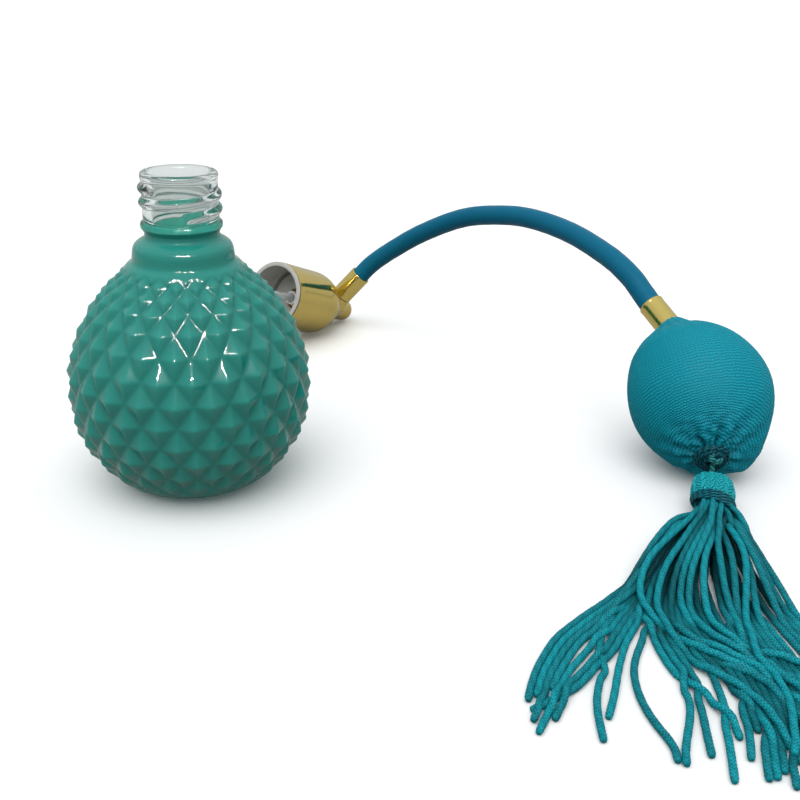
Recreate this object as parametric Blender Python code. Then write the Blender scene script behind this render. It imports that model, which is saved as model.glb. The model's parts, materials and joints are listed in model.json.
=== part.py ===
"""A round facet-cut perfume bottle and its bulb sprayer, which lies unscrewed beside it.

The origin is the centre of the bottle's flat foot, on the table. +Z is up, +X is to the right,
and +Y runs away from the front. Lengths are given in millimetres and placed in metres by MM.
"""

from math import acos, cos, radians, sin, tau

import bmesh
import bpy
from mathutils import Matrix, Vector

MM = 0.001

# Bottle: the outside radius at a height, then the facet rows between the foot and the collar.
BOTTLE_SIDE = [(0, 15.0), (3, 21.6), (8, 26.9), (16, 32.1), (24, 34.0), (30, 34.2), (36, 33.9),
               (44, 31.5), (52, 27.3), (58, 22.7), (62, 18.4), (64, 16.3), (65.5, 14.9)]
FACET_COUNT = 22
FACET_TURN = 12.5 - 90
FACET_ROWS = [8, 12.5, 17.5, 23, 29, 35, 41, 47, 52.4, 56.5, 59.8, 62.5]
FACET_DEPTH = 1.9
FACET_FADE = 0.55
GLASS_WALL = 4.2
COLLAR_R = 13.9
NECK_R = 10.15
BEAD_R = 11.0
LIP_R = 10.4
BORE_R = 7.8
RIM_Z = 90.0
THREAD_LOW = 79.0
THREAD_TURNS = 1.9
THREAD_PITCH = 3.8
THREAD_HEIGHT = 0.95

# Sprayer head: its axis runs from the cap's mouth to the knob, dipping to the table.
HEAD_MOUTH = (10.7, 109.9, 22.2)
HEAD_DIP = 22.0
HEAD_HEADING = (0.558, 0.830)
ARM_ROLL = 54.0
ARM_AT = 37.5
CAP_R = 12.65
CAP_SKIRT = 20.5
CAP_WALL = 0.5
DOME_REACH = 12.9
DOME_INSET = 4.2
DOME_SWEEP = 72.0
LINER_R = 11.85
LINER_BORE = 11.3
LINER_DEPTH = 16.0
SLEEVE_R = 4.3
SLEEVE_START = 7.4
SLEEVE_END = 19.5
NOZZLE_AT = 40.0
NOZZLE_REACH = 5.6
STEM_START = 10.2
DIP_TUBE_LENGTH = 81.5
DIP_TUBE_SAG = 14.0
DIP_TUBE_R = 1.5
DIP_TUBE_BORE = 1.0

# Hose: the outside radius and the points that its arch passes through, head to bulb.
HOSE_R = 3.55
HOSE_ROUTE = [(43.1, 137.2, 23.0), (47.6, 136.3, 27.9), (55.5, 132.2, 34.8), (67.4, 124.6, 43.9),
              (82.2, 112.6, 53.0), (95.0, 100.3, 57.3), (105.8, 88.1, 59.0), (117.7, 71.7, 58.0),
              (127.7, 55.2, 54.6), (133.2, 45.6, 50.9), (136.4, 40.2, 47.2), (138.55, 36.6, 44.55)]

# Bulb: a knitted cover over a rubber bladder, its two ends set at a slight bend to each other.
BULB_CENTRE = (151.0, 14.2, 22.6)
TO_HOSE = (-0.32, 0.63, 0.70)
NECK = (143.2, 29.6, 39.7)
TO_FERRULE = (-0.48, 0.72, 0.50)
TO_TAIL = (-0.02, -0.90, -0.43)
COVER_R = 21.9
COVER_HALF = 23.4
COVER_WALL = 0.7
NECK_SHOULDER = 3.2
HOSE_REACH = 1.6
BLADDER_WALL = 1.6
LAYER_GAP = 0.35

# Tassel: the back of its woven head, the way it points, and its strands.
TASSEL_BACK = (150.4, -11.6, 6.9)
TASSEL_WAY = (-0.232, -0.972, -0.02)
STRAND_R = 0.9
LOOP_R = 0.7
LOOP_STEP = 1.2
LOOP_ROUTE = [(150.6, -8.6, 12.0), (150.6, -8.75, 10.9), (150.55, -9.25, 9.4), (150.5, -9.95, 8.2),
              (150.5, -10.75, 7.45), (150.5, -11.3, 7.15)]
SKIRT_SECTIONS = [
    # along the tassel, sideways shift, half width, lowest, highest
    (10.9, 0.0, 4.3, 2.3, 10.9), (17.0, 0.0, 4.3, 2.2, 10.8), (20.0, 0.2, 4.6, 1.6, 10.6),
    (30.0, 2.5, 9.0, 0.35, 10.6), (45.0, 5.5, 14.5, 0.35, 9.8), (62.0, 9.5, 18.5, 0.35, 8.0),
    (82.0, 14.5, 21.5, 0.35, 6.2), (100.0, 17.0, 22.0, 0.35, 4.4), (112.0, 18.0, 18.0, 0.35, 2.9)]
STRAND_ROUTES = {
    "tassel_strand_outer": [(138.6, -33.6, 7.2), (131.8, -38.9, 7.6), (124.0, -46.2, 6.6),
                            (114.6, -57.4, 4.6), (105.6, -67.2, 3.0), (98.6, -77.4, 1.8),
                            (93.6, -87.0, 1.3), (90.2, -97.0, 1.3), (88.4, -104.0, 1.3)],
    "tassel_strand_second": [(135.9, -38.6, 5.0), (129.6, -45.0, 4.6), (121.2, -54.0, 3.6),
                             (112.6, -65.4, 2.6), (105.2, -76.4, 1.8), (98.9, -87.0, 1.3),
                             (94.6, -96.4, 1.3), (92.0, -104.4, 1.3)],
    "tassel_strand_third": [(134.2, -43.6, 2.3), (126.8, -53.2, 1.6), (119.4, -64.6, 1.3),
                            (112.2, -77.4, 1.3), (105.6, -89.6, 1.3), (99.6, -99.4, 1.3),
                            (94.6, -108.0, 1.3)],
    "tassel_strand_short": [(126.6, -61.6, 1.3), (120.6, -70.6, 1.3), (113.4, -83.0, 1.3),
                            (107.2, -95.4, 1.3), (103.4, -106.0, 1.3), (101.8, -114.2, 1.3)],
    "tassel_strand_looped": [(123.6, -72.6, 1.3), (118.4, -82.4, 1.3), (115.4, -92.8, 1.3),
                             (114.6, -103.0, 1.3), (115.4, -112.6, 1.3), (115.8, -122.6, 1.3)]}

AROUND = 2 * FACET_COUNT
SMALL_AROUND = 24
BULB_AROUND = 26
CAP_AROUND = 36
SHARP_ANGLE = 35.0


def clear_scene():
    for thing in list(bpy.data.objects):
        bpy.data.objects.remove(thing, do_unlink=True)


def material(name, colour, roughness, metallic=0.0, transmission=0.0):
    made = bpy.data.materials.new(name)
    made.use_nodes = True
    shader = made.node_tree.nodes["Principled BSDF"]
    shader.inputs["Base Color"].default_value = (*colour, 1.0)
    shader.inputs["Roughness"].default_value = roughness
    shader.inputs["Metallic"].default_value = metallic
    shader.inputs["Transmission Weight"].default_value = transmission
    return made


def gold(name):
    return material(name, (0.62, 0.50, 0.17), 0.18, metallic=1.0)


def frame_on(origin, along, across):
    """A placing matrix whose local Z lies along one direction and whose local X leans to another."""
    z = Vector(along).normalized()
    x = (Vector(across) - z * Vector(across).dot(z)).normalized()
    y = z.cross(x)
    turn = Matrix((x, y, z)).transposed().to_4x4()
    return Matrix.Translation(Vector(origin) * MM) @ turn


def object_from(name, mesh, finish, place=None):
    made = bpy.data.objects.new(name, mesh)
    bpy.context.scene.collection.objects.link(made)
    mesh.materials.append(finish)
    mesh.shade_smooth()
    mesh.set_sharp_from_angle(angle=radians(SHARP_ANGLE))
    if place is not None:
        made.matrix_world = place
    return made


def close_up(bm, name):
    bmesh.ops.remove_doubles(bm, verts=bm.verts, dist=1e-7)
    bmesh.ops.recalc_face_normals(bm, faces=bm.faces)
    mesh = bpy.data.meshes.new(name)
    bm.to_mesh(mesh)
    bm.free()
    return mesh


def turned(name, outline, finish, place, closed=True, steps=SMALL_AROUND):
    """Spins an outline of (radius, height) about local Z; a closed outline goes round a hole."""
    bm = bmesh.new()
    points = [bm.verts.new((r * MM, 0.0, z * MM)) for r, z in outline]
    edges = [bm.edges.new(pair) for pair in zip(points, points[1:])]
    if closed:
        edges.append(bm.edges.new((points[-1], points[0])))
    bmesh.ops.spin(bm, geom=points + edges, cent=(0, 0, 0), axis=(0, 0, 1), angle=tau,
                   steps=steps, use_merge=True)
    return object_from(name, close_up(bm, name), finish, place)


def skin(name, rings, finish, looped=False, split=None):
    """Joins rings of points into one closed skin; a ring of one point is a pole."""
    bm = bmesh.new()
    rows = [[bm.verts.new(Vector(p) * MM) for p in ring] for ring in rings]
    pairs = list(zip(rows, rows[1:]))
    if looped:
        pairs.append((rows[-1], rows[0]))
    for k, (low, high) in enumerate(pairs):
        count = max(len(low), len(high))
        for i in range(count):
            j = (i + 1) % count
            if len(low) == 1:
                bm.faces.new((low[0], high[i], high[j]))
            elif len(high) == 1:
                bm.faces.new((low[i], low[j], high[0]))
            elif split and split(k, i):
                bm.faces.new((low[i], low[j], high[i]))
                bm.faces.new((low[j], high[j], high[i]))
            elif split:
                bm.faces.new((low[i], low[j], high[j]))
                bm.faces.new((low[i], high[j], high[i]))
            else:
                bm.faces.new((low[i], low[j], high[j], high[i]))
    return object_from(name, close_up(bm, name), finish)


def smooth_curve(points, step):
    """Evenly spaced points on one smooth curve through the given ones."""
    stops = [Vector(p) for p in points]
    stops = [2 * stops[0] - stops[1]] + stops + [2 * stops[-1] - stops[-2]]
    fine = []
    for a, b, c, d in zip(stops, stops[1:], stops[2:], stops[3:]):
        for k in range(20):
            t = k / 20
            fine.append(0.5 * (2 * b + (c - a) * t + (2 * a - 5 * b + 4 * c - d) * t ** 2
                               + (3 * b - a - 3 * c + d) * t ** 3))
    fine.append(stops[-2])
    run = [0.0]
    for a, b in zip(fine, fine[1:]):
        run.append(run[-1] + (b - a).length)
    count = max(3, round(run[-1] / step))
    spaced = []
    at = 0
    for k in range(count + 1):
        want = run[-1] * k / count
        while at < len(run) - 2 and run[at + 1] < want:
            at += 1
        share = (want - run[at]) / (run[at + 1] - run[at])
        spaced.append(fine[at].lerp(fine[at + 1], min(1.0, share)))
    return spaced


def cord(name, points, radius, finish, resolution=2, step=None):
    """A round cord along one smooth curve, as a bevelled curve with filled caps."""
    curve = bpy.data.curves.new(name, "CURVE")
    curve.dimensions = "3D"
    curve.bevel_depth = radius * MM
    curve.bevel_resolution = resolution
    curve.use_fill_caps = True
    route = smooth_curve(points, step or radius * 5)
    line = curve.splines.new("POLY")
    line.points.add(len(route) - 1)
    for spot, point in zip(line.points, route):
        spot.co = (*(point * MM), 1.0)
    curve.materials.append(finish)
    made = bpy.data.objects.new(name, curve)
    bpy.context.scene.collection.objects.link(made)
    return made


def cylinder(name, radius, start, end, place):
    """A plain cylinder along local Z between two heights."""
    bm = bmesh.new()
    bmesh.ops.create_cone(bm, cap_ends=True, segments=SMALL_AROUND, radius1=radius * MM,
                          radius2=radius * MM, depth=(end - start) * MM)
    bmesh.ops.translate(bm, verts=bm.verts, vec=(0, 0, (start + end) / 2 * MM))
    mesh = bpy.data.meshes.new(name)
    bm.to_mesh(mesh)
    bm.free()
    made = bpy.data.objects.new(name, mesh)
    bpy.context.scene.collection.objects.link(made)
    made.matrix_world = place
    made.hide_render = True
    made.display_type = "WIRE"
    return made


def combine(target, tool, operation):
    cut = target.modifiers.new(tool.name, "BOOLEAN")
    cut.operation = operation
    cut.solver = "EXACT"
    cut.object = tool


# ---- bottle ----

def side_radius(z):
    """The bottle's outside radius at a height, on smooth curves between the side's points."""
    last = len(BOTTLE_SIDE) - 1
    k = max(i for i in range(last) if BOTTLE_SIDE[i][0] <= z or i == 0)
    (z1, r1), (z2, r2) = BOTTLE_SIDE[k], BOTTLE_SIDE[k + 1]
    z0, r0 = BOTTLE_SIDE[max(k - 1, 0)]
    z3, r3 = BOTTLE_SIDE[min(k + 2, last)]
    span = z2 - z1
    in_slope = (r2 - r0) / (z2 - z0) * span
    out_slope = (r3 - r1) / (z3 - z1) * span
    t = (z - z1) / span
    return ((2 * t ** 3 - 3 * t ** 2 + 1) * r1 + (t ** 3 - 2 * t ** 2 + t) * in_slope
            + (3 * t ** 2 - 2 * t ** 3) * r2 + (t ** 3 - t ** 2) * out_slope)


def circle(radius, z, count=AROUND):
    return [(radius * cos(tau * k / count + radians(FACET_TURN)),
             radius * sin(tau * k / count + radians(FACET_TURN)), z) for k in range(count)]


def facet_ring(row, z):
    """One row of the facet net: pyramid tips alternate with the low corners between them."""
    edge = min(row, len(FACET_ROWS) - 1 - row)
    depth = FACET_DEPTH * (FACET_FADE if edge == 0 else 1.0)
    tip = side_radius(z) + 0.3
    ring = []
    for k in range(AROUND):
        radius = tip if (k + row) % 2 else tip - depth
        angle = tau * k / AROUND + radians(FACET_TURN)
        ring.append((radius * cos(angle), radius * sin(angle), z))
    return ring


def thread_ring(z):
    """A ring of the threaded neck: one helical ridge that fades in and out at its ends."""
    ring = []
    for k in range(AROUND):
        turn = k / AROUND
        radius = NECK_R + 0.05
        for lap in range(-1, int(THREAD_TURNS) + 2):
            along = turn + lap
            if 0 <= along <= THREAD_TURNS:
                offset = abs(z - (THREAD_LOW + along * THREAD_PITCH)) / (THREAD_PITCH * 0.42)
                fade = min(1.0, along / 0.12, (THREAD_TURNS - along) / 0.12)
                radius += THREAD_HEIGHT * max(0.0, 1 - offset ** 2) * fade
        angle = tau * turn + radians(FACET_TURN)
        ring.append((radius * cos(angle), radius * sin(angle), z))
    return ring


def bottle_glass():
    rings = [[(0, 0, 0)], circle(14.2, 0.0), circle(15.6, 0.35), circle(19.0, 1.7),
             circle(side_radius(4.2), 4.2)]
    first = len(rings)
    rings += [facet_ring(row, z) for row, z in enumerate(FACET_ROWS)]
    last = len(rings) - 1
    rings += [circle(15.9, 64.5), circle(14.5, 65.9), circle(COLLAR_R, 67.2), circle(13.7, 68.9),
              circle(12.9, 70.5), circle(11.6, 71.8), circle(NECK_R, 72.3), circle(NECK_R, 73.9),
              circle(BEAD_R, 74.9), circle(BEAD_R, 76.0), circle(NECK_R, 76.9)]
    height = 77.6
    while height < RIM_Z - 2.0:
        rings.append(thread_ring(height))
        height += 0.9
    rings += [circle(LIP_R, 88.6), circle(LIP_R, 89.4), circle(9.9, RIM_Z), circle(8.5, RIM_Z),
              circle(BORE_R, 89.3)]
    rings += [circle(BORE_R, 72.0), circle(8.6, 67.5), circle(12.6, 63.0)]
    for z in (56.0, 48.0, 38.0, 28.0, 18.0):
        rings.append(circle(side_radius(z) - GLASS_WALL - 0.8, z))
    rings += [circle(19.0, 7.4), circle(11.0, 5.6), [(0, 0, 5.2)]]

    def lean(k, i):
        # The quad's shared edge joins two low corners, so every pyramid keeps four flat sides.
        return first <= k < last and (k - first + i) % 2 == 1

    glass = material("teal_lacquered_glass", (0.02, 0.42, 0.39), 0.08, transmission=0.2)
    skin("bottle_glass", rings, glass, split=lean)


# ---- sprayer head ----

def head_frames():
    """The head's frame, local Z from mouth to knob, with local X along the hose arm."""
    dip = radians(HEAD_DIP)
    along = Vector((HEAD_HEADING[0] * cos(dip), HEAD_HEADING[1] * cos(dip), -sin(dip)))
    level = along.cross(Vector((0, 0, 1))).normalized()
    rise = level.cross(along)
    arm = level * cos(radians(ARM_ROLL)) + rise * sin(radians(ARM_ROLL))
    head = frame_on(HEAD_MOUTH, along, arm)
    arm_start = Vector(HEAD_MOUTH) + along * ARM_AT
    nozzle_start = Vector(HEAD_MOUTH) + along * NOZZLE_AT
    return head, frame_on(arm_start, arm, along), frame_on(nozzle_start, -arm, along), along


def dome(radius, reach, z, sweep, steps=6):
    """Points of a quarter-oval dome, from the skirt's edge up to the hole at its top."""
    return [(DOME_INSET + (radius - DOME_INSET) * cos(radians(sweep * k / steps)),
             z + reach * sin(radians(sweep * k / steps))) for k in range(steps + 1)]


def screw_cap(head):
    outside = dome(CAP_R, DOME_REACH, CAP_SKIRT, DOME_SWEEP)
    inside = dome(CAP_R - CAP_WALL, DOME_REACH - CAP_WALL, CAP_SKIRT, DOME_SWEEP)
    shell = [(CAP_R, 0.0)] + outside + [(5.4, 32.9), (5.4, 32.3)] + inside[::-1]
    shell.append((CAP_R - CAP_WALL, 0.0))
    turned("cap_shell", shell, gold("cap_gold"), head, steps=CAP_AROUND)
    liner = [(12.5, -0.9), (12.5, -0.3), (LINER_R, -0.3), (LINER_R, LINER_DEPTH + 1.2),
             (4.9, LINER_DEPTH + 1.2), (4.9, LINER_DEPTH), (LINER_BORE, LINER_DEPTH),
             (LINER_BORE, -0.9)]
    turned("cap_liner", liner, material("white_liner", (0.78, 0.77, 0.74), 0.45), head, steps=CAP_AROUND)


def head_core(head, arm, nozzle):
    outline = [(10.6, 14.2), (10.6, 15.7), (4.4, 15.7), (4.4, 33.3), (6.9, 33.3), (7.0, 34.3),
               (6.6, 35.8), (5.7, 38.0), (5.0, 40.0), (4.7, 42.4), (1.9, 42.4), (1.9, 14.2)]
    core = turned("head_core", outline, gold("core_gold"), head)
    combine(core, cylinder("arm_stub", 3.3, 2.6, 11.0, arm), "UNION")
    combine(core, cylinder("nozzle_stub", 2.4, 2.6, NOZZLE_REACH, nozzle), "UNION")
    combine(core, cylinder("arm_bore", 2.2, 1.0, 12.5, arm), "DIFFERENCE")
    combine(core, cylinder("nozzle_bore", 1.5, 1.0, 9.0, nozzle), "DIFFERENCE")
    knob = [(0, 39.8), (1.6, 39.8), (1.6, 42.7), (4.4, 42.7), (4.5, 44.8), (4.3, 46.6),
            (3.6, 48.1), (2.2, 48.9), (0, 49.1)]
    turned("turret_knob", knob, gold("knob_gold"), head, closed=False)


def head_fittings(head, arm, nozzle):
    gasket = [(4.2, 12.9), (10.4, 12.9), (10.4, 13.9), (4.2, 13.9)]
    turned("neck_gasket", gasket, material("gasket_rubber", (0.55, 0.55, 0.52), 0.7), head)
    stem = [(2.7, STEM_START), (2.7, 13.6), (1.6, 13.8), (1.6, 20.0), (0.8, 20.0), (0.8, 13.2),
            (1.8, 13.0), (1.8, STEM_START)]
    turned("pickup_stem", stem, material("white_stem", (0.80, 0.80, 0.77), 0.4), head)
    tip = [(2.4, 6.0), (2.4, 6.5), (1.7, 7.2), (0.4, 7.2), (0.4, 6.0)]
    turned("nozzle_tip", tip, gold("nozzle_gold"), nozzle)
    jet = [(1.2, 2.6), (1.2, NOZZLE_REACH), (0.4, NOZZLE_REACH), (0.4, 2.6)]
    turned("nozzle_jet", jet, material("brass_jet", (0.55, 0.42, 0.18), 0.3, 1.0), nozzle)
    sleeve = [(SLEEVE_R, SLEEVE_START), (SLEEVE_R, SLEEVE_END), (3.65, SLEEVE_END),
              (3.65, SLEEVE_START)]
    turned("head_ferrule", sleeve, gold("ferrule_gold"), arm)
    barb = [(1.9, 7.0), (1.9, 15.0), (2.3, 15.4), (1.9, 17.2), (1.9, 19.2), (0.9, 19.2),
            (0.9, 7.0)]
    turned("hose_barb", barb, material("barb_brass", (0.50, 0.40, 0.18), 0.35, 1.0), arm)


def dip_tube(along):
    """A flexible pick-up tube that leaves the stem along the head's axis and droops a little."""
    start = Vector(HEAD_MOUTH) + along * 12.5
    steps = 12
    line = []
    for k in range(steps + 1):
        share = k / steps
        droop = Vector((0, 0, -DIP_TUBE_SAG)) * share ** 2
        line.append(start - along * DIP_TUBE_LENGTH * share + droop)
    side = along.cross(Vector((0, 0, 1))).normalized()
    outside = []
    inside = []
    for k, point in enumerate(line):
        run = (line[min(k + 1, steps)] - line[max(k - 1, 0)]).normalized()
        up = side.cross(run).normalized()
        spokes = [side * cos(tau * i / 8) + up * sin(tau * i / 8) for i in range(8)]
        outside.append([point + spoke * DIP_TUBE_R for spoke in spokes])
        inside.append([point + spoke * DIP_TUBE_BORE for spoke in spokes])
    clear = material("clear_tube", (0.85, 0.87, 0.87), 0.2, transmission=0.6)
    skin("dip_tube", outside + inside[::-1], clear, looped=True)


# ---- bulb ----

def bulb_frames():
    hose_end = frame_on(NECK, TO_FERRULE, (0, 0, 1))
    tail = frame_on(BULB_CENTRE, TO_TAIL, (0, 0, 1))
    return hose_end, tail


def bent_ring(radius, along, count=BULB_AROUND):
    """A ring of the bulb: the axis bends evenly from the hose end, through the centre, to the tail."""
    hose = Vector(TO_HOSE).normalized()
    tail = Vector(TO_TAIL).normalized()
    axis = (tail - hose).normalized()
    hinge = hose.cross(tail).normalized()
    bend = acos(axis.dot(tail))
    if axis.cross(tail).dot(hinge) < 0:
        bend = -bend
    share = max(-1.0, min(1.0, along / 19.0))
    turn = Matrix.Rotation(bend * share * abs(share), 3, hinge)
    side = hinge
    up = axis.cross(side)
    ring = []
    for k in range(count):
        spoke = side * cos(tau * k / count) + up * sin(tau * k / count)
        ring.append(Vector(BULB_CENTRE) + turn @ (axis * along + spoke * radius))
    return ring


def neck_ring(radius, along, count=BULB_AROUND):
    """A ring of the bulb's neck, which leans from the belly towards the hose."""
    axis = -Vector(TO_FERRULE).normalized()
    hinge = Vector(TO_HOSE).normalized().cross(Vector(TO_TAIL).normalized())
    side = (hinge - axis * hinge.dot(axis)).normalized()
    up = axis.cross(side)
    middle = Vector(NECK) - axis * along
    return [middle + side * radius * cos(tau * k / count) + up * radius * sin(tau * k / count)
            for k in range(count)]


def bulb_skin(radius, half, neck_out, neck_end, tail_out, tail_end):
    """Rings down the bulb: its neck's edge, an oval belly, and a straight tail."""
    rings = [neck_ring(neck_out, neck_end)]
    steps = 12
    start = acos(min(1.0, (neck_out + NECK_SHOULDER) / radius))
    end = acos(min(1.0, (tail_out + 0.4) / radius))
    for k in range(steps + 1):
        angle = -start + (start + end) * k / steps
        reach = half + HOSE_REACH if angle < 0 else half
        rings.append(bent_ring(radius * cos(angle), reach * sin(angle)))
    rings.append(bent_ring(tail_out, tail_end))
    return rings


def bulb_body():
    cover_out = bulb_skin(COVER_R, COVER_HALF, 4.7, 0.8, 3.9, 24.6)
    cover_in = bulb_skin(COVER_R - COVER_WALL, COVER_HALF - COVER_WALL, 4.0, 0.8, 3.3, 24.6)
    knit = material("teal_knit", (0.02, 0.30, 0.34), 0.75)
    skin("bulb_cover", cover_out + cover_in[::-1], knit, looped=True)
    r = COVER_R - COVER_WALL - LAYER_GAP
    half = COVER_HALF - COVER_WALL - LAYER_GAP
    bladder_out = bulb_skin(r, half, 3.6, 0.7, 3.0, 23.4)
    bladder_in = bulb_skin(r - BLADDER_WALL, half - BLADDER_WALL, 2.65, 0.7, 2.65, 23.4)
    rubber = material("black_rubber", (0.03, 0.03, 0.03), 0.6)
    skin("bulb_bladder", bladder_out + bladder_in[::-1], rubber, looped=True)


def bulb_fittings(hose_end, tail):
    ferrule = [(3.2, 1.1), (4.35, 1.1), (4.35, 1.9), (3.75, 2.4), (3.75, 8.4), (3.95, 8.7),
               (3.95, 9.3), (3.2, 9.3)]
    turned("bulb_ferrule", ferrule, gold("bulb_ferrule_gold"), hose_end)
    nipple = [(2.3, -5.3), (2.3, 8.4), (0.8, 8.4), (0.8, 0.4), (1.7, -0.3), (1.7, -3.8),
              (0.8, -4.4), (0.8, -5.3)]
    plastic = material("valve_plastic", (0.75, 0.74, 0.70), 0.45)
    turned("bulb_nipple", nipple, plastic, hose_end)
    valve = [(2.3, 17.5), (2.3, 23.6), (0.7, 23.6), (0.7, 22.6), (1.7, 21.9), (1.7, 17.5)]
    body = material("valve_body_plastic", (0.70, 0.69, 0.66), 0.45)
    turned("inlet_valve_body", valve, body, tail)
    retainer = [(0.7, 16.6), (2.3, 16.6), (2.3, 17.15), (0.7, 17.15)]
    turned("valve_retainer", retainer, material("retainer_steel", (0.6, 0.6, 0.6), 0.3, 1.0), tail)
    tie = [(4.7 + 0.45 * cos(tau * k / 8), 23.8 + 0.45 * sin(tau * k / 8)) for k in range(8)]
    turned("cover_tie", tie, material("teal_thread", (0.01, 0.16, 0.19), 0.7), tail)


def ball(name, place, along, radius=1.3):
    bm = bmesh.new()
    bmesh.ops.create_uvsphere(bm, u_segments=16, v_segments=10, radius=radius * MM)
    mesh = bpy.data.meshes.new(name)
    bm.to_mesh(mesh)
    bm.free()
    spot = place @ Matrix.Translation((0, 0, along * MM))
    object_from(name, mesh, material(name + "_steel", (0.6, 0.6, 0.6), 0.15, 1.0), spot)


# ---- tassel ----

def tassel_frame():
    return frame_on(TASSEL_BACK, TASSEL_WAY, (0, 0, 1))


def tassel_parts(place):
    cord_teal = material("teal_cord", (0.01, 0.24, 0.29), 0.6)
    cord("tassel_loop", LOOP_ROUTE, LOOP_R, cord_teal, step=LOOP_STEP)
    woven = [(0, 0.45), (2.4, 0.6), (4.6, 1.5), (5.8, 3.3), (6.2, 5.6), (6.1, 8.0), (5.6, 10.2),
             (4.9, 10.5), (0, 10.5)]
    turned("tassel_head", woven, material("teal_weave", (0.02, 0.26, 0.30), 0.7), place, closed=False)
    band = [(4.65, 10.85), (5.7, 10.85), (6.05, 11.6), (6.1, 13.8), (5.9, 16.0), (5.5, 16.7),
            (4.65, 16.7)]
    turned("tassel_binding", band, material("teal_binding", (0.01, 0.18, 0.22), 0.65), place)


def skirt_section(along, shift, half_width, low, high, count=20):
    """One flattened oval across the bundle of strands, flat where it lies on the table."""
    way = Vector((TASSEL_WAY[0], TASSEL_WAY[1], 0)).normalized()
    side = Vector((-way.y, way.x, 0))
    middle = Vector(TASSEL_BACK) + way * along + side * shift
    ring = []
    for k in range(count):
        angle = tau * k / count
        point = middle + side * half_width * cos(angle)
        ring.append((point.x, point.y, (low + high) / 2 + (high - low) / 2 * sin(angle)))
    return ring


def tassel_skirt():
    rings = [skirt_section(*section) for section in SKIRT_SECTIONS]
    ends = []
    for ring in (rings[0], rings[-1]):
        total = Vector((0, 0, 0))
        for point in ring:
            total += Vector(point)
        ends.append([total / len(ring)])
    finish = material("teal_strands", (0.01, 0.24, 0.29), 0.6)
    skin("tassel_skirt", [ends[0]] + rings + [ends[1]], finish)
    for name, route in STRAND_ROUTES.items():
        cord(name, route, STRAND_R, finish)


def build():
    clear_scene()
    bottle_glass()
    head, arm, nozzle, along = head_frames()
    screw_cap(head)
    head_core(head, arm, nozzle)
    head_fittings(head, arm, nozzle)
    dip_tube(along)
    cord("hose", HOSE_ROUTE, HOSE_R, material("teal_hose", (0.004, 0.09, 0.17), 0.45), 4, 8.0)
    hose_end, tail = bulb_frames()
    bulb_body()
    bulb_fittings(hose_end, tail)
    ball("outlet_valve_ball", hose_end, -2.4)
    ball("inlet_valve_ball", tail, 19.3)
    tassel_parts(tassel_frame())
    tassel_skirt()


build()
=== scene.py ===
"""The looks of a facet-cut perfume bottle and its bulb sprayer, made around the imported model.

Constants are in millimetres and become metres through MM. The frame is the model's own: +Z is up,
the bottle's foot is at the origin, the bulb lies to the right, and the front is towards -Y.
"""

import json
from math import acos, cos, pi, radians, sin, tau

import bpy
import numpy as np
from mathutils import Matrix, Vector
from mathutils.kdtree import KDTree


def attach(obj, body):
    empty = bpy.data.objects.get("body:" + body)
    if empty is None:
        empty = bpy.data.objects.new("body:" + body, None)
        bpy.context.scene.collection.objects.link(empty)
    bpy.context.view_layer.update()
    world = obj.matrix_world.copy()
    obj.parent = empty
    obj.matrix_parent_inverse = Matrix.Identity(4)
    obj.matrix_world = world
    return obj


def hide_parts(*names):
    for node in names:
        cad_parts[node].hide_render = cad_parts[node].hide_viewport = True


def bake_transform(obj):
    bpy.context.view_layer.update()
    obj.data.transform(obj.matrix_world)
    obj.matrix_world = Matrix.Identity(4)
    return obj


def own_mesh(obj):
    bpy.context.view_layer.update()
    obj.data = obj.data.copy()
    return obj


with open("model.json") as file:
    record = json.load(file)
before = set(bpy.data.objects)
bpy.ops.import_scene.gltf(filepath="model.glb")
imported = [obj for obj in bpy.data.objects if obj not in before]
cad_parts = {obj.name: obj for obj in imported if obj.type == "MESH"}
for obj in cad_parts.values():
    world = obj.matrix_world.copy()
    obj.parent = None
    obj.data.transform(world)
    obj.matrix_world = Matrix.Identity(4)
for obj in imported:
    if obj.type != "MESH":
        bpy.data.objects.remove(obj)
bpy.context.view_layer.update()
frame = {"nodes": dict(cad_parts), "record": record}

MM = 0.001
JOINTS = {joint["name"]: joint for joint in frame["record"]["behaviour"]["joints"]}

# Camera, solved for the photograph's view by a least-squares fit.
CAMERA_AT = (60.26, -276.4, 142.24)
CAMERA_RIGHT = (0.99974, 0.00885, 0.02089)
CAMERA_UP = (-0.02269, 0.3900, 0.92053)
CAMERA_BACK = (0.0, -0.92077, 0.39009)
CAMERA_LENS = 46.53
CAMERA_SENSOR = 36.0

# Light, in metres: a world in three bands, a soft sun, and a strip that draws the thin highlights.
WORLD_ABOVE = (0.95, 0.98, 1.0)
WORLD_LEVEL = (0.64, 0.655, 0.66)
WORLD_BELOW = (0.21, 0.21, 0.21)
WORLD_BAND = (0.46, 0.54)
FLOOR_WHITE = (0.90, 0.90, 0.90)
FLOOR_HALF = 14.0
TABLE_SHEEN = (0.50, 0.485, 0.45)
TABLE_SHEEN_AT = 0.00004
SUN_FROM = (-0.16, -0.48, 1.0)
SUN_STRENGTH = 1.5
SUN_SPREAD = 60.0
STRIP_AT = (0.14, -0.61, 0.70)
STRIP_TOWARDS = (0.0, -0.02, 0.055)
STRIP_SIZE = (0.60, 0.014)
STRIP_POWER = 14.0

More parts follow.
